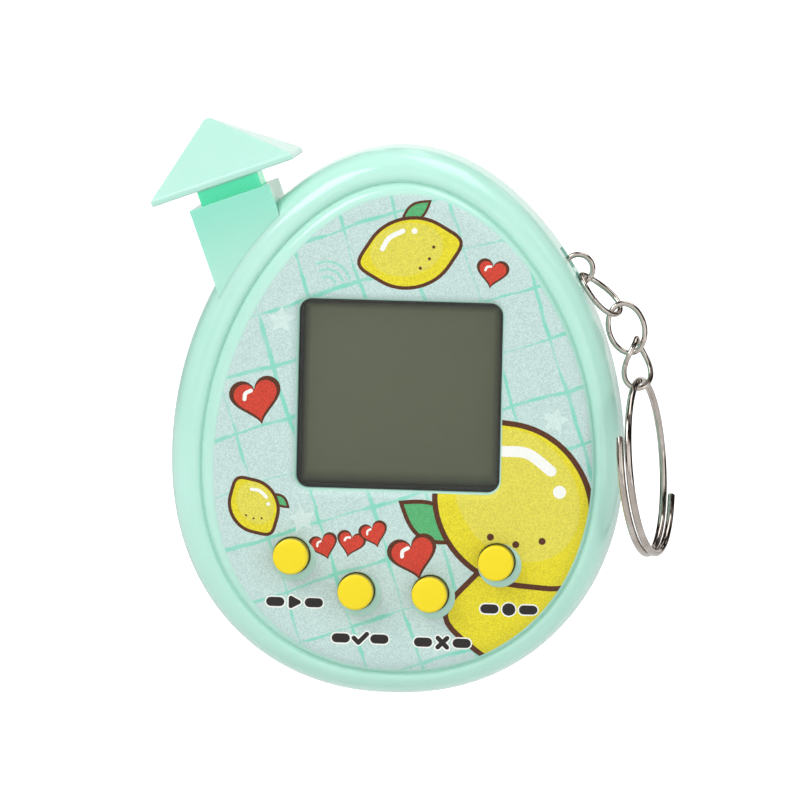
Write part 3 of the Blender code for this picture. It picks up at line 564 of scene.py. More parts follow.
def carve(piece, *steps):
    """Applies Booleans to a piece, each an operation with its tools, and removes the tools."""
    used = []
    for operation, tools in steps:
        for tool in tools:
            made = piece.modifiers.new(tool.name, "BOOLEAN")
            made.operation = operation
            made.object = tool
            made.solver = "MANIFOLD"
            used.append(tool)
    graph = bpy.context.evaluated_depsgraph_get()
    mesh = bpy.data.meshes.new_from_object(piece.evaluated_get(graph))
    mesh.materials.clear()  # a Boolean leaves an empty material slot
    piece.modifiers.clear()
    piece.data = mesh
    for tool in used:
        bpy.data.objects.remove(tool)


def show(piece, body, material, nodes=(), sharp=32):
    """Finishes a piece: smooth shading, its material and its body; the CAD nodes that it replaces are hidden.
    """
    piece.data.shade_smooth()
    piece.data.set_sharp_from_angle(angle=math.radians(sharp))
    for each in material if isinstance(material, list) else [material]:
        piece.data.materials.append(each)
    even = piece.modifiers.new("even_normals", "WEIGHTED_NORMAL")
    even.keep_sharp = True
    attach(piece, body)
    if nodes:
        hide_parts(*nodes)


# ------------ egg shapes


def outline(a):
    """The case's edge: a tapered half ellipse above its widest place, a fuller curve below."""
    side, rise = math.cos(a), math.sin(a)
    if rise > 0:
        return Vector((HALF_WIDTH * side * (1 - UPPER_TAPER * rise * rise), WIDEST_UP + UPPER_REACH * rise))
    full = 2 / LOWER_POWER
    x = math.copysign(HALF_WIDTH * abs(side) ** full, side)
    return Vector((x, WIDEST_UP - LOWER_REACH * abs(rise) ** full))


def outward(a):
    step = 0.001
    along = (outline(a + step) - outline(a - step)).normalized()
    return Vector((along.y, -along.x))


def egg_loop(inset, height, steps=CASE_STEPS, shift=Vector((0, 0))):
    """The outline set in, and moved by the shift as the inset grows."""
    moved = shift * min(1.0, inset / FULL_SHIFT_INSET)
    return [(*(outline(a) - inset * outward(a) + moved), height) for a in round_turns(steps)]


def smooth_line(points, per_span=4):
    """A smooth line through points, with some points added in each span."""
    points = [Vector(point) for point in points]
    padded = [2 * points[0] - points[1], *points, 2 * points[-1] - points[-2]]
    made = []
    for a, b, c, d in zip(padded, padded[1:], padded[2:], padded[3:]):
        for i in range(per_span):
            t = i / per_span
            bend = (2 * a - 5 * b + 4 * c - d) * t * t + (3 * b - a - 3 * c + d) * t**3
            made.append((2 * b + (c - a) * t + bend) / 2)
    return made + [points[-1]]


def egg(name, profile, per_span=4, shift=Vector((0, 0))):
    line = smooth_line(profile, per_span)
    return loft(name, [egg_loop(max(0.0, inset), height, shift=shift) for inset, height in line])


# ------------ case


def tower_slot(name):
    gap, over = 0.03, 1.5
    size = (TOWER_SIZE[0] + 2 * gap, TOWER_SIZE[1] + gap + over, TOWER_SIZE[2] + 2 * gap)
    return block(name, size, (0, over - size[1] / 2, 0), matrix=TOWER)


def lug_slot(name):
    wide, high, deep = LUG_POCKET
    size = (wide, high, 1.2)
    centre = (LUG[0] + 0.6, LUG[1] + 0.5)
    loops = [rounded_rect(size, 0.0, PARTING + side * deep / 2, centre) for side in (-1, 1)]
    return loft(name, loops)


def front_case():
    shell = egg("front_shell_body", FRONT_PROFILE, shift=FACE_SHIFT)
    cavity = egg("cavity", FRONT_CAVITY)
    rebate = loft("rebate", [egg_loop(TONGUE_INSET, z) for z in (PARTING - 1, PARTING + TONGUE_HEIGHT + 0.1)])
    posts = [rod(f"post_{n}", POST, PARTING - 0.4, INSIDE_TOP + 0.3, at) for n, at in SCREWS.items()]
    cuts = [rod(f"pilot_{n}", PILOT, 6.0, 14.0, at) for n, at in SCREWS.items()]
    cuts.append(rect_hole("window", WINDOW, WINDOW_CENTRE, 14.0, PLATEAU_TOP, 1, WINDOW_ROUND))
    for number, at in enumerate(BUTTONS, 1):
        cuts.append(round_hole(f"hole_{number}", HOLE_RADIUS, at, 14.0, PLATEAU_TOP, 1, HOLE_ROUND, 64))
    cuts += [tower_slot("slot"), lug_slot("pocket")]
    carve(shell, ("DIFFERENCE", [cavity, rebate]), ("UNION", posts), ("DIFFERENCE", cuts))
    show(shell, "case", MINT, ["front_shell"])


def back_case():
    shell = egg("back_shell_body", BACK_PROFILE)
    cavity = egg("cavity", BACK_CAVITY)
    top = PARTING + TONGUE_HEIGHT
    tongue = loft("tongue", [egg_loop(TONGUE_INSET + 0.05, z) for z in (PARTING - 1, top)])
    tongue_room = loft("tongue_room", [egg_loop(WALL, z) for z in (PARTING - 2, top + 1)])
    carve(tongue, ("DIFFERENCE", [tongue_room]))
    tray_low, tray_high = TRAY_HEIGHTS
    tray_size = (CELL_ROOM[0] + 5.0, CELL_ROOM[1] + 4.6, tray_high - tray_low)
    tray = block("tray", tray_size, (*CELL_ROOM_CENTRE, (tray_low + tray_high) / 2), 0.4)
    adds = [tongue, tray, rod("boss", BOSS, 1.2, 6.5, DOOR_SCREW)]
    adds += [rod(f"sleeve_{n}", SLEEVE, 1.0, 8.3, at) for n, at in SCREWS.items()]
    lug = rod("lug", LUG_RADIUS, PARTING - 2.1, PARTING + 1.6, LUG)
    cuts = [tower_slot("slot"), lug_slot("pocket")]
    for name, at in SCREWS.items():
        cuts.append(round_hole(f"counterbore_{name}", COUNTERBORE, at, 5.6, 0.0, -1))
        cuts.append(rod(f"clearance_{name}", CLEARANCE, 5.0, 9.3, at))
    recess = (DOOR[0] + 2 * DOOR_GAP, DOOR[1] + 2 * DOOR_GAP, DOOR[2] + DOOR_GAP)
    cuts.append(rect_hole("recess", recess, DOOR_CENTRE, DOOR_LEDGE, 0.0, -1))
    room = [rounded_rect(CELL_ROOM, 0.0, z, CELL_ROOM_CENTRE) for z in (1.0, CELL_ROOM_TOP)]
    cuts.append(loft("cell_room", room))
    cuts.append(rod("door_pilot", PILOT, 0.5, 5.8, DOOR_SCREW))
    for i in range(7):
        a, reach = math.pi * i / 3, SOUND_REACH if i < 6 else 0.0
        at = (SOUND_CENTRE[0] + reach * math.cos(a), SOUND_CENTRE[1] + reach * math.sin(a))
        cuts.append(round_hole(f"sound_{i}", 0.6, at, 3.0, 0.0, -1, 0.12, 24))
    carve(shell, ("DIFFERENCE", [cavity]), ("UNION", adds), ("DIFFERENCE", cuts), ("UNION", [lug]))
    show(shell, "case", MINT, ["back_shell"])


def cross_recess(name, at, low, size=2.0):
    """The cutter of a screw's cross recess, open towards the back."""
    return [
        block(f"{name}_wide", (size, 0.45, 1.4), (*at, low), 0.05),
        block(f"{name}_tall", (0.45, size, 1.4), (*at, low), 0.05),
    ]


def screw(name, at, seat, length, head, body):
    """A pan-head screw driven from the back, with a cut thread and a cross recess."""
    low = seat - 1.3
    profile = [(head * 0.62, low), (head * 0.8, low + 0.06), (head * 0.95, low + 0.24), (head, low + 0.52)]
    profile += [(head, seat), (0.72, seat)]
    pitch = 0.55
    turns = int((length - 1.2) / pitch)
    for i in range(turns):
        z = seat + 0.3 + i * pitch
        profile += [(0.5, z), (0.72, z + pitch * 0.45), (0.5, z + pitch * 0.9)]
    profile += [(0.5, seat + length - 0.5), (0.2, seat + length)]
    made = turned(f"{name}_body", profile, at, steps=40)
    carve(made, ("DIFFERENCE", cross_recess(name, at, low)))
    show(made, body, STEEL, [name], sharp=28)


def door():
    turns = [math.pi / 8 * i for i in range(5)]
    edge = [(-EDGE_ROUND * (1 - math.sin(a)), EDGE_ROUND * (1 - math.cos(a))) for a in turns]
    edge.append((0.0, DOOR_THICKNESS))
    loops = [rounded_rect(DOOR, grown, z, DOOR_CENTRE) for grown, z in edge]
    made = loft("battery_door_body", loops)
    cuts = [round_hole("door_counterbore", COUNTERBORE, DOOR_SCREW, 1.0, 0.0, -1, 0.12)]
    cuts.append(rod("door_clearance", CLEARANCE, 0.5, 3.0, DOOR_SCREW))
    for i in range(3):
        cuts.append(block(f"grip_{i}", (0.6, 6.0, 0.6), (-12.6 + 1.3 * i, DOOR_CENTRE[1], 0), 0.15))
    carve(made, ("DIFFERENCE", cuts))
    show(made, "battery_door", MINT, ["battery_door"])


def button_caps():
    for number, at in enumerate(BUTTONS, 1):
        wide, low, high = CAP_FLANGE
        profile = [(1.5, 13.4), (1.5, low), (wide - 0.05, low), (wide, low + 0.05), (wide, high - 0.05)]
        profile += [(wide - 0.05, high), (CAP_RADIUS, high)]
        for i in range(9):
            a = math.pi / 2 * i / 8
            away = CAP_EDGE * (1 - math.cos(a))
            profile.append((CAP_RADIUS - away, CAP_TOP - 0.04 - CAP_EDGE * (1 - math.sin(a))))
        profile += [(1.2, CAP_TOP - 0.015), (0.6, CAP_TOP - 0.005)]
        cap = turned(f"button_cap_{number}_body", profile, at, steps=64)
        show(cap, f"button_{number}", YELLOW, [f"button_cap_{number}"])


def key_mat():
    """The rubber sheet under the buttons, with a dome that gives way under each cap."""
    low, high = KEY_MAT_HEIGHTS
    loops = [rounded_rect(KEY_MAT, grown, z, KEY_MAT_CENTRE)
             for grown, z in ((-0.1, low), (0.0, low + 0.1), (0.0, high - 0.1), (-0.1, high))]
    mat = loft("key_mat_sheet", loops)
    holes = [rod(f"well_{n}", 1.5, 9.0, 12.0, at) for n, at in enumerate(BUTTONS)]
    carve(mat, ("DIFFERENCE", holes))
    show(mat, "case", RUBBER, ["key_mat"])
    for number, at in enumerate(BUTTONS, 1):
        skin = [(2.3, 10.92), (2.2, 11.2), (1.5, 12.4), (1.4, 12.55), (1.4, 13.2), (1.3, 13.3)]
        dome = turned(f"key_dome_{number}", skin, at)
        carve(dome, ("DIFFERENCE", [turned("hollow", [(1.7, 10.0), (1.0, 12.1)], at)]))
        show(dome, "case", RUBBER, ["key_mat"])
        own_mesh(dome)


# ------------ tower, knob and chain


HARD_ANGLE = math.radians(30)


def refined(node, body, material, edge):
    """A CAD solid's own shape with its seams welded and its hard edges rounded."""
    shape = bmesh.new()
    shape.from_mesh(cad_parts[node].data)
    bmesh.ops.remove_doubles(shape, verts=shape.verts, dist=0.002 * MM)
    bmesh.ops.dissolve_limit(shape, angle_limit=math.radians(1), verts=shape.verts, edges=shape.edges)
    hard = [e for e in shape.edges if len(e.link_faces) == 2 and e.calc_face_angle() > HARD_ANGLE]
    bmesh.ops.bevel(shape, geom=hard, offset=edge * MM, segments=3, profile=0.5,
                    affect="EDGES", clamp_overlap=True)
    show(solid(f"{node}_body", shape, Matrix.Identity(4)), body, material, [node])


def tube(name, path, radius, sides=20, matrix=FACE):
    """A round wire swept along an open path without twisting, with eased ends."""
    path = [Vector(point) for point in path]
    last = len(path) - 1
    along = [(path[min(i + 1, last)] - path[max(i - 1, 0)]).normalized() for i in range(last + 1)]
    side = along[0].orthogonal().normalized()
    loops = []
    for at, way in zip(path, along):
        side = (side - way * side.dot(way)).normalized()
        other = way.cross(side)
        loops.append([at + radius * (side * math.cos(a) + other * math.sin(a)) for a in round_turns(sides)])
    start = [path[0] + (p - path[0]) * 0.75 - along[0] * radius * 0.25 for p in loops[0]]
    end = [path[-1] + (p - path[-1]) * 0.75 + along[-1] * radius * 0.25 for p in loops[-1]]
    return loft(name, [start, *loops, end], matrix)


def link_path(upper, lower, turn, twist, points=96, gap=0.03):
    """A curb link's centreline: an oval with a twist over its length and a butt joint in one side."""
    upper, lower = Vector(upper), Vector(lower)
    middle, half = (upper + lower) / 2, (lower - upper) / 2
    along = half.normalized()
    depth = (Vector((0, 0, 1)) - along * along.z).normalized()
    aside = along.cross(depth)
    made = []
    for i in range(points):
        a = math.pi / 2 + gap / 2 + (2 * math.pi - gap) * i / (points - 1)
        roll = turn + twist * math.cos(a) / 2
        across = depth * math.cos(roll) + aside * math.sin(roll)
        made.append(middle + half * math.cos(a) + across * LINK_WIDTH / 2 * math.sin(a))
    return made


def split_ring_path(points=220):
    """One and a half turns of a shallow helix that hangs from its top."""
    top, radius, pitch = Vector((28.6, 5.35, 10.8)), 10.3, 1.0
    lean, yaw = math.radians(6), math.radians(8.5)
    start, sweep = math.radians(155), math.radians(540)
    rise = Vector((-math.sin(lean), math.cos(lean), 0))
    near = Vector((-math.sin(yaw), 0, math.cos(yaw)))
    near = (near - rise * near.dot(rise)).normalized()
    axis = near.cross(rise)
    axis = -axis if axis.x < 0 else axis
    centre = top - rise * radius
    made = []
    for i in range(points):
        share = i / (points - 1)
        a = start + sweep * share
        shift = pitch * (share - 0.5) * sweep / (2 * math.pi)
        made.append(centre + radius * (-near * math.cos(a) + rise * math.sin(a)) + axis * shift)
    return made


def wire(node, path, radius):
    show(tube(f"{node}_wire", path, radius), node, NICKEL, [node])


def chain():
    turns = [0.02 - math.pi / 3 + (2 * math.pi - 0.04) * i / 71 for i in range(72)]
    x, y, radius = JUMP_RING
    ring = [(x + radius * math.cos(a), y + radius * math.sin(a), PARTING) for a in turns]
    wire("jump_ring", ring, CHAIN_WIRE)
    for number, spec in enumerate(LINKS, 1):
        wire(f"chain_link_{number}", link_path(*spec), CHAIN_WIRE)
    wire("split_ring", split_ring_path(), RING_WIRE)


def spring():
    low, high, turns, radius = -7.78, -4.62, 4, 1.5
    count = turns * 40
    path = []
    for i in range(count + 1):
        a = 2 * math.pi * turns * i / count
        path.append((radius * math.cos(a), radius * math.sin(a), low + (high - low) * i / count))
    coil = tube("knob_spring_coil", path, SPRING_WIRE, sides=12, matrix=PIN_AXIS)
    show(coil, "case", STEEL, ["knob_spring"])
    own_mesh(coil)


# ------------ print


def ellipse(centre, half_wide, half_high, turn=0.0, points=40):
    shape = [(half_wide * math.cos(a), half_high * math.sin(a)) for a in round_turns(points)]
    return placed(shape, centre, turn)


def placed(shape, centre, turn=0.0):
    """A flat shape turned about its own middle and moved to a place on the face."""
    c, s = math.cos(turn), math.sin(turn)
    return [(centre[0] + x * c - y * s, centre[1] + x * s + y * c) for x, y in shape]


def heart(centre, width, turn=0.0, points=44):
    made = []
    for a in round_turns(points):
        high = 13 * math.cos(a) - 5 * math.cos(2 * a) - 2 * math.cos(3 * a) - math.cos(4 * a)
        made.append((-width / 32 * 16 * math.sin(a) ** 3, width / 32 * (high + 2)))
    return placed(made, centre, turn)


def lemon(centre, half_long, half_wide, turn, points=72):
    """An oval with a small nub at each end."""
    made = []
    for a in round_turns(points):
        nub = 1 + 0.2 * abs(math.cos(a)) ** 14
        made.append((half_long * nub * math.cos(a), half_wide * math.sin(a)))
    return placed(made, centre, turn)


def leaf(centre, length, width, turn, points=16):
    """A pointed oval between two ends."""
    shares = [i / points for i in range(points + 1)]
    upper = [(length * (share - 0.5), width / 2 * math.sin(math.pi * share)) for share in shares]
    lower = [(x, -y) for x, y in reversed(upper[1:-1])]
    return placed(lower + upper, centre, turn)[::-1]


def stroke(line, width):
    """A round-ended band along a line of points."""
    line = [Vector(point) for point in smooth_line(line, 6)]
    left, right = [], []
    for i, at in enumerate(line):
        way = (line[min(i + 1, len(line) - 1)] - line[max(i - 1, 0)]).normalized()
        side = Vector((-way.y, way.x)) * width / 2
        left.append(at + side)
        right.append(at - side)
    ends = []
    for at, way in ((line[-1], line[-1] - line[-2]), (line[0], line[0] - line[1])):
        way = way.normalized()
        side = Vector((-way.y, way.x))
        turns = [math.pi * k / 6 for k in range(1, 6)]
        ends.append([at + (-side * math.cos(a) + way * math.sin(a)) * width / 2 for a in turns])
    return [tuple(point) for point in right + ends[0] + left[::-1] + ends[1]]


def grown(shape, width):
    """A shape moved outwards by a width along its own normals."""
    made = []
    for i, at in enumerate(shape):
        before, after = Vector(shape[i - 1]), Vector(shape[(i + 1) % len(shape)])
        way = (after - before).normalized()
        made.append((at[0] + way.y * width, at[1] - way.x * width))
    return made


OUTLINE = 0.42


def lemon_art(centre, half_long, half_wide, turn, leaf_turn=20, line=OUTLINE, leaf_at=(0.35, 1.18),
              shaded=False):
    """A lemon with a leaf: brown outline, two yellows, a white glint and a few pores.

    Turns are in degrees. leaf_at is the leaf's middle as shares of the lemon's half length and half
    width. A shaded lemon lies behind another one and has no lit side and no glint.
    """
    turn, leaf_turn = math.radians(turn), math.radians(leaf_turn)

    def at(x, y):
        """A place in shares of the lemon's half length and half width."""
        return placed([(half_long * x, half_wide * y)], centre, turn)[0]

    whole = lemon(centre, half_long, half_wide, turn)
    tip = at(*leaf_at)
    sprig = leaf(tip, half_long * 0.95, half_wide * 0.55, turn + leaf_turn)
    middle = leaf(tip, half_long * 0.95 - 2.4 * line, half_wide * 0.55 - 1.5 * line, turn + leaf_turn)
    lit = ellipse(at(-0.06, 0.12), half_long * 0.88, half_wide * 0.8, turn)
    glint = stroke([at(-0.62, 0.30), at(-0.40, 0.58), at(-0.05, 0.70)], half_wide * 0.15)
    spot = ellipse(at(0.22, 0.62), half_wide * 0.09, half_wide * 0.09)
    made = [("brown", sprig), ("green", middle), ("brown", grown(whole, line)), ("shade", whole)]
    if not shaded:
        made += [("yellow", lit), ("white", glint), ("white", spot)]
    pore = half_wide * 0.05
    for x, y in ((0.42, -0.30), (0.16, -0.52), (0.58, 0.02)):
        made.append(("brown", ellipse(at(x, y), pore, pore, points=12)))
    return made


def heart_art(centre, width, turn, line):
    """A red heart with a brown outline and a white glint, turned by an angle in degrees."""
    turn = math.radians(turn)
    glint = [(width * x, width * y) for x, y in ((-0.27, 0.10), (-0.22, 0.22), (-0.08, 0.26))]
    glint = placed(glint, centre, turn)
    return [("brown", heart(centre, width + 2 * line, turn)), ("red", heart(centre, width, turn)),
            ("white", stroke(glint, width * 0.09))]


def star(centre, radius, turn):
    made = []
    for i in range(10):
        a = turn + math.pi * i / 5
        reach = radius if i % 2 == 0 else radius * 0.5
        made.append((centre[0] + reach * math.cos(a), centre[1] + reach * math.sin(a)))
    return made


HALO = 0.16

# (start, end, width) of each line of an icon about its middle
ICONS = {
    "next": [((-0.45, 0.5), (0.5, 0.0), 0.5), ((-0.45, -0.5), (0.5, 0.0), 0.5),
             ((-0.45, -0.5), (-0.45, 0.5), 0.5), ((-0.3, 0.0), (0.3, 0.0), 0.5)],
    "yes": [((-0.75, 0.05), (-0.2, -0.5), 0.55), ((-0.2, -0.5), (0.8, 0.55), 0.55)],
    "no": [((-0.55, 0.55), (0.55, -0.55), 0.55), ((-0.55, -0.55), (0.55, 0.55), 0.55)],
    "again": [((-0.05, 0.0), (0.05, 0.0), 1.5)],
}
DASHES = [((side * 1.75, 0.0), (side * 2.85, 0.0), 1.1) for side in (-1, 1)]
LABELS = {"next": (-11.9, -22.3), "yes": (-4.0, -26.4), "no": (5.8, -26.6), "again": (13.6, -22.4)}


def label_art(centre, icon):
    """A black icon between two dashes with thin pale outlines. Each stands for a control's use."""
    lines = [(placed(ends, centre), width) for *ends, width in DASHES + ICONS[icon]]
    halos = [("white", stroke(line, width + 2 * HALO)) for line, width in lines]
    return halos + [("black", stroke(line, width)) for line, width in lines]


ART_SHIFT = (0.65, 0.6)


def artwork():
    """Every inked shape from the bottom layer to the top: (ink, outline)."""
    made = []
    for at, turn in (((-14.2, 11.2), 0.3), ((18.6, 0.2), 0.1), ((-11.2, -12.4), 0.5)):
        made.append(("pale", star(at, 1.7, turn)))
    for reach in (1.1, 2.0, 2.9):
        turns = [math.radians(angle) for angle in (20, 44, 68, 92, 116)]
        ripple = [(-8.9 + reach * math.cos(a), 15.4 + reach * math.sin(a)) for a in turns]
        made.append(("teal", stroke(ripple, 0.26)))
    made += lemon_art((0.9, 19.6), 5.0, 3.9, 14, 24)
    made += heart_art((10.7, 17.4), 3.2, -8, 0.36)
    made += heart_art((-16.9, 1.5), 5.2, 14, 0.52)
    made += lemon_art((-17.0, -11.0), 3.0, 2.6, -58, line=0.4)
    made += lemon_art((19.8, -22.4), 11.2, 8.4, 4, line=0.65, shaded=True)
    made += lemon_art((13.8, -9.9), 9.6, 8.6, -52, line=0.65, leaf_at=(-0.43, -1.065))
    made += heart_art((2.2, -16.6), 5.0, 16, 0.5)
    for centre, turn in (((-8.5, -15.6), 18), ((-5.4, -15.2), -12), ((-2.6, -14.0), 18)):
        made += heart_art(centre, 2.9, turn, 0.3)
    for icon, centre in LABELS.items():
        made += label_art(centre, icon)
    return [(name, [(x + ART_SHIFT[0], y + ART_SHIFT[1]) for x, y in shape]) for name, shape in made]


PRINT_INSET = 4.3
PRINT_SHIFT = Vector((1.3, -1.1))
PRINT_LEAST_INSET = GROOVE_INSET + 0.28
PRINT_LIFT = 0.03
PRINT_HOLE = 2.6
PRINT_HOLE_SHIFT = (0.34, -0.4)

# Rings of points that let the print follow the shell's curves: round the case, the window, a hole
RIM_GUIDES = (3.85, 4.0, 4.2, 4.5, 4.8, 5.1, 5.4, 6.0)
WINDOW_GUIDES = (0.34, 0.5, 0.7, 0.85, 1.0)
HOLE_GUIDES = (0.11, 0.17, HOLE_ROUND + 0.01)


def print_edge():
    """The print's outline: the case's, set in, printed a little too far right and down."""
    made = []
    for a in round_turns(180):
        out = outward(a)
        inset = PRINT_INSET - (PRINT_SHIFT - FACE_SHIFT).dot(out)
        made.append(tuple(outline(a) + FACE_SHIFT - max(PRINT_LEAST_INSET, inset) * out))
    return made


def face_heights(points):
    """The height of the front shell's outer surface over each point of the face."""
    rim = [outline(a) + FACE_SHIFT for a in round_turns(720)]
    profile = [tuple(pair) for pair in smooth_line(FRONT_PROFILE)]
    profile = [pair for pair in profile if pair[0] > FULL_SHIFT_INSET]
    heights = []
    for x, y in points:
        inset = math.sqrt(min((x - r.x) ** 2 + (y - r.y) ** 2 for r in rim))
        height = PLATEAU_TOP
        for (low, first), (high, second) in zip(profile, profile[1:]):
            if low <= inset < high:
                height = first + (second - first) * (inset - low) / (high - low)
        wide, high, corner = WINDOW
        over_x = max(0.0, abs(x - WINDOW_CENTRE[0]) - wide / 2 + corner)
        over_y = max(0.0, abs(y - WINDOW_CENTRE[1]) - high / 2 + corner)
        gap = WINDOW_ROUND - (math.hypot(over_x, over_y) - corner)
        if 0 < gap <= WINDOW_ROUND:
            height -= WINDOW_ROUND - math.sqrt(WINDOW_ROUND**2 - gap**2)
        for at in BUTTONS:
            gap = HOLE_ROUND - (math.hypot(x - at[0], y - at[1]) - HOLE_RADIUS)
            if 0 < gap <= HOLE_ROUND:
                height -= HOLE_ROUND - math.sqrt(HOLE_ROUND**2 - gap**2)
        heights.append(height)
    return heights


def top_inks(points, cells, flat):
    """The ink that shows on each cell: that of the last shape over its middle, within the first one."""
    places = np.array([tuple(point) for point in points])
    middles = np.array([places[list(cell)].mean(axis=0) for cell in cells])
    top = np.full(len(cells), -1)
    for number, (_, shape) in enumerate(flat):
        ends = np.array(shape)
        starts = np.roll(ends, 1, axis=0)
        inside = np.zeros(len(cells), bool)
        for (x0, y0), (x1, y1) in zip(starts, ends):
            if y0 != y1:
                beyond = (y0 > middles[:, 1]) != (y1 > middles[:, 1])
                inside ^= beyond & (middles[:, 0] < x0 + (x1 - x0) * (middles[:, 1] - y0) / (y1 - y0))
        top[inside & ((number == 0) | (top >= 0))] = number
    return [flat[number][0] if number >= 0 else "none" for number in top]


def face_print():
    """One film of ink on the shell, cut along every outline of the artwork."""
    flat = [("ground", print_edge())] + artwork()
    window = [point[:2] for point in rounded_rect(WINDOW, 0.22, 0.0, WINDOW_CENTRE)]
    flat.append(("none", window))
    for x, y in BUTTONS:
        flat.append(("none", ellipse((x, y), HOLE_RADIUS + 0.06, HOLE_RADIUS + 0.06, points=48)))
        open_at = (x + PRINT_HOLE_SHIFT[0], y + PRINT_HOLE_SHIFT[1])
        flat.append(("none", ellipse(open_at, PRINT_HOLE, PRINT_HOLE, points=48)))
    verts, edges, faces = [], [], []
    for _, shape in flat:
        area = sum(a[0] * b[1] - b[0] * a[1] for a, b in zip(shape, shape[1:] + shape[:1]))
        shape = shape if area > 0 else shape[::-1]
        faces.append(list(range(len(verts), len(verts) + len(shape))))
        verts += [Vector(point) for point in shape]
    guides = [[p[:2] for p in egg_loop(inset, 0.0, 180, FACE_SHIFT)] for inset in RIM_GUIDES]
    guides += [[p[:2] for p in rounded_rect(WINDOW, out, 0.0, WINDOW_CENTRE)] for out in WINDOW_GUIDES]
    for at in BUTTONS:
        for out in HOLE_GUIDES:
            guides.append(ellipse(at, HOLE_RADIUS + out, HOLE_RADIUS + out, points=64))
    for loop in guides:
        start = len(verts)
        verts += [Vector(point) for point in loop]
        edges += [(start + i, start + (i + 1) % len(loop)) for i in range(len(loop))]
    points, _, cells, *_ = delaunay_2d_cdt(verts, edges, faces, 1, 1e-5)
    inks = top_inks(points, cells, flat)
    heights = face_heights([(p.x, p.y) for p in points])
    names = list(INKS)
    shape = bmesh.new()
    corners = [shape.verts.new((p.x, p.y, z + PRINT_LIFT)) for p, z in zip(points, heights)]
    for cell, ink_name in zip(cells, inks):
        if ink_name != "none":
            face = shape.faces.new([corners[i] for i in cell])
            face.material_index = names.index(ink_name)
    loose = [v for v in shape.verts if not v.link_faces]
    bmesh.ops.delete(shape, geom=loose, context="VERTS")
    film = solid("face_print", shape, FACE)
    show(film, "case", list(INKS.values()))


# ------------ inner pieces


def inner_pieces():
    """Finishes for the solids that keep their CAD shape, with their edges eased."""
    finishes = {
        "display_lens": LENS, "lcd_frame": BLACK, "lcd_panel": DISPLAY, "main_pcb": BOARD,
        "zebra_strip_upper": ZEBRA, "zebra_strip_lower": ZEBRA, "chip_blob": BLACK,
        "chip_resistor": BLACK, "chip_capacitor": TAN, "crystal_can": STEEL, "button_cell_1": STEEL,
        "button_cell_2": STEEL, "battery_contact_minus": STEEL, "battery_contact_plus": STEEL,
        "battery_link_plate": STEEL, "buzzer_plate": BRASS, "buzzer_ceramic": WHITE,
        "tower_switch": BLACK,
    }
    for name, material in finishes.items():
        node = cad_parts[name]
        node.data.materials.clear()
        node.data.materials.append(material)
        weld = node.modifiers.new("weld", "WELD")
        weld.merge_threshold = 0.002 * MM
        ease = node.modifiers.new("ease", "BEVEL")
        ease.width = 0.08 * MM
        ease.segments = 2
        ease.limit_method = "ANGLE"
        ease.angle_limit = math.radians(40)
        ease.harden_normals = False


# ------------ light, floor and camera


# Brightness of the room from low to high, and from right to left
ROOM_HEIGHTS = (0.66, 0.90)
ROOM_SIDES = (0.86, 1.08)
FLOOR = -0.085


def studio_world():
    """A white backdrop for the camera; a room that is brighter above and on the left for the object.

    Mirrored rays see it bright in front, dark and warm beside, with a few pale patches.
    """
    white, warm = (1.0, 1.0, 1.0, 1.0), (1.0, 0.86, 0.76, 1.0)
    world = bpy.data.worlds.new("studio")
    world.use_nodes = True
    world.node_tree.nodes.clear()
    made = Nodes(world.node_tree)

    def ramp(value, start, end, low, high):
        return made.spread(value, low, high, start, end, interpolation_type="SMOOTHSTEP")

    def light(tint, strength):
        return made.node("Background", {"Color": tint, "Strength": strength}).outputs[0]

    def choose(ray, otherwise, where):
        return made.node("MixShader", {0: path[ray], 1: otherwise, 2: where}).outputs[0]

    way = made.node("TexCoord").outputs["Generated"]
    sides = made.node("SeparateXYZ", {0: way}).outputs
    room = made.times(ramp(sides[2], -0.7, 0.8, *ROOM_HEIGHTS), ramp(sides[0], 0.9, -0.9, *ROOM_SIDES))
    stretched = made.node("Mapping", {"Vector": way, "Scale": (2.6, 2.6, 1.1)}).outputs[0]
    bands = made.node("TexNoise", {"Vector": stretched, "Scale": 1.7, "Detail": 1.0}).outputs["Fac"]
    front = ramp(sides[1], -0.84, -0.62, 0.9, 0.02)
    behind = ramp(sides[1], 0.86, 0.97, 0.0, 0.8)
    boxes = ramp(bands, 0.60, 0.66, 0.0, 0.8)
    dim = made.math("MAXIMUM", made.math("ADD", front, behind), boxes)
    mirrored = made.times(room, made.times(dim, 1.5))
    path = made.node("LightPath").outputs
    lit = choose("Is Glossy Ray", light(white, room), light(made.mix(dim, warm, white), mirrored))
    made.node("OutputWorld", {"Surface": choose("Is Camera Ray", lit, light(white, 1.0))})
    return world


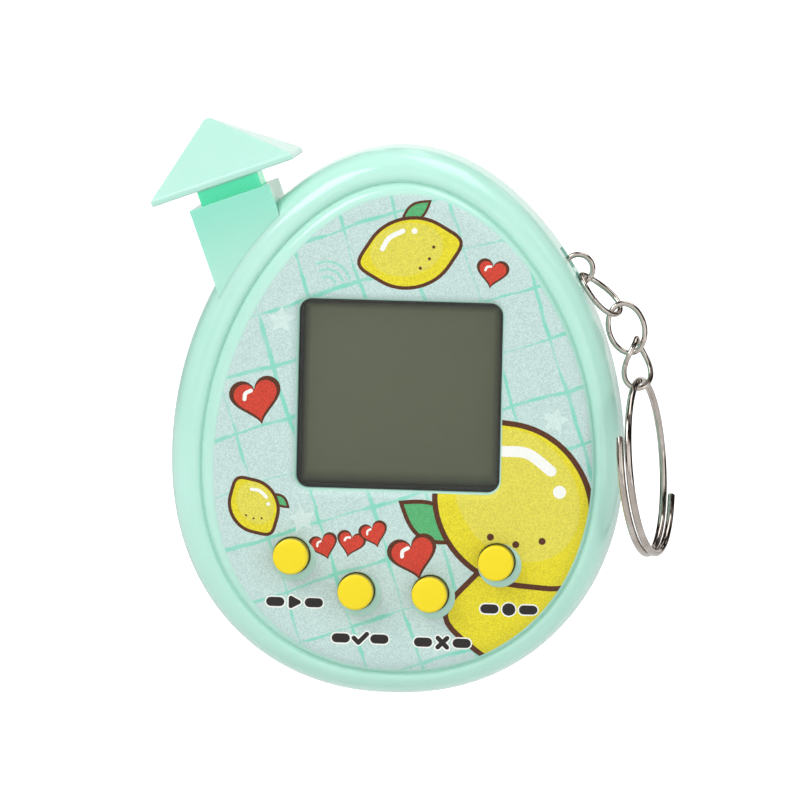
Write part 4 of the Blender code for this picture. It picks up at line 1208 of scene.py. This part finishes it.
def studio():
    scene = bpy.context.scene
    scene.view_settings.view_transform = "Standard"
    scene.world = studio_world()

    def lamp(name, place, aim, size, watts):
        data = bpy.data.lights.new(name, "AREA")
        data.shape = "RECTANGLE"
        data.size, data.size_y = size
        data.energy = watts
        made = bpy.data.objects.new(name, data)
        made.location = place
        made.rotation_euler = (Vector(aim) - Vector(place)).to_track_quat("-Z", "Y").to_euler()
        scene.collection.objects.link(made)

    middle = (0, -0.01, 0)
    lamp("key", (-0.36, -0.34, 0.46), middle, (0.30, 0.30), 1.6)
    lamp("fill", (0.45, -0.34, 0.10), middle, (0.30, 0.40), 0.45)
    lamp("top", (0.16, 0.06, 0.55), middle, (0.40, 0.30), 0.9)

    floor_mesh = bpy.data.meshes.new("floor")
    shape = bmesh.new()
    bmesh.ops.create_grid(shape, x_segments=4, y_segments=4, size=3.0)
    bmesh.ops.translate(shape, vec=(0, 0, FLOOR), verts=shape.verts)
    shape.to_mesh(floor_mesh)
    shape.free()
    floor = bpy.data.objects.new("floor", floor_mesh)
    made = Finish("pale_floor")
    direct = made.node("LightPath").outputs["Is Camera Ray"]
    pale = made.mix(made.noise(300.0), colour(246, 246, 245), colour(250, 250, 250))
    made.set(Base_Color=made.mix(direct, colour(215, 215, 215), pale), Roughness=0.7)
    made.set(Emission_Color=(1, 1, 1, 1), Emission_Strength=made.times(direct, 0.6))
    floor.data.materials.append(made.material)
    scene.collection.objects.link(floor)


def camera():
    """A long lens a little right of the face and a little above it, rolled slightly."""
    azimuth, elevation, roll = math.radians(4.75), math.radians(4.75), math.radians(1.3)
    across = Vector((math.cos(azimuth), math.sin(azimuth), 0))
    over = Vector((-math.sin(azimuth) * math.sin(elevation), math.cos(azimuth) * math.sin(elevation),
                   math.cos(elevation)))
    right = across * math.cos(roll) + over * math.sin(roll)
    up = over * math.cos(roll) - across * math.sin(roll)
    back = right.cross(up)
    distance, view_width, sensor = 1.6, 800 / 8.4 * MM, 36.0
    target = Vector((0, -PARTING * MM, 0)) + (0.12 * right + 2.02 * up) * MM
    data = bpy.data.cameras.new("camera")
    data.sensor_width = sensor
    data.lens = sensor * distance / view_width
    data.clip_start, data.clip_end = 0.01, 100
    made = bpy.data.objects.new("camera", data)
    made.matrix_world = Matrix.Translation(target + back * distance) @ Matrix(
        (right, up, back)).transposed().to_4x4()
    bpy.context.scene.collection.objects.link(made)
    bpy.context.scene.camera = made


camera()
studio()
front_case()
back_case()
door()
for label, spot in SCREWS.items():
    screw(f"case_screw_{label}", spot, seat=5.55, length=8.0, head=1.8, body="case")
screw("door_screw", DOOR_SCREW, seat=0.95, length=4.6, head=1.7, body="battery_door")
button_caps()
key_mat()
refined("tower_housing", "case", MINT_TOWER, 0.3)
refined("roof_knob", "roof_knob", MINT_KNOB, 0.12)
chain()
spring()
face_print()
inner_pieces()
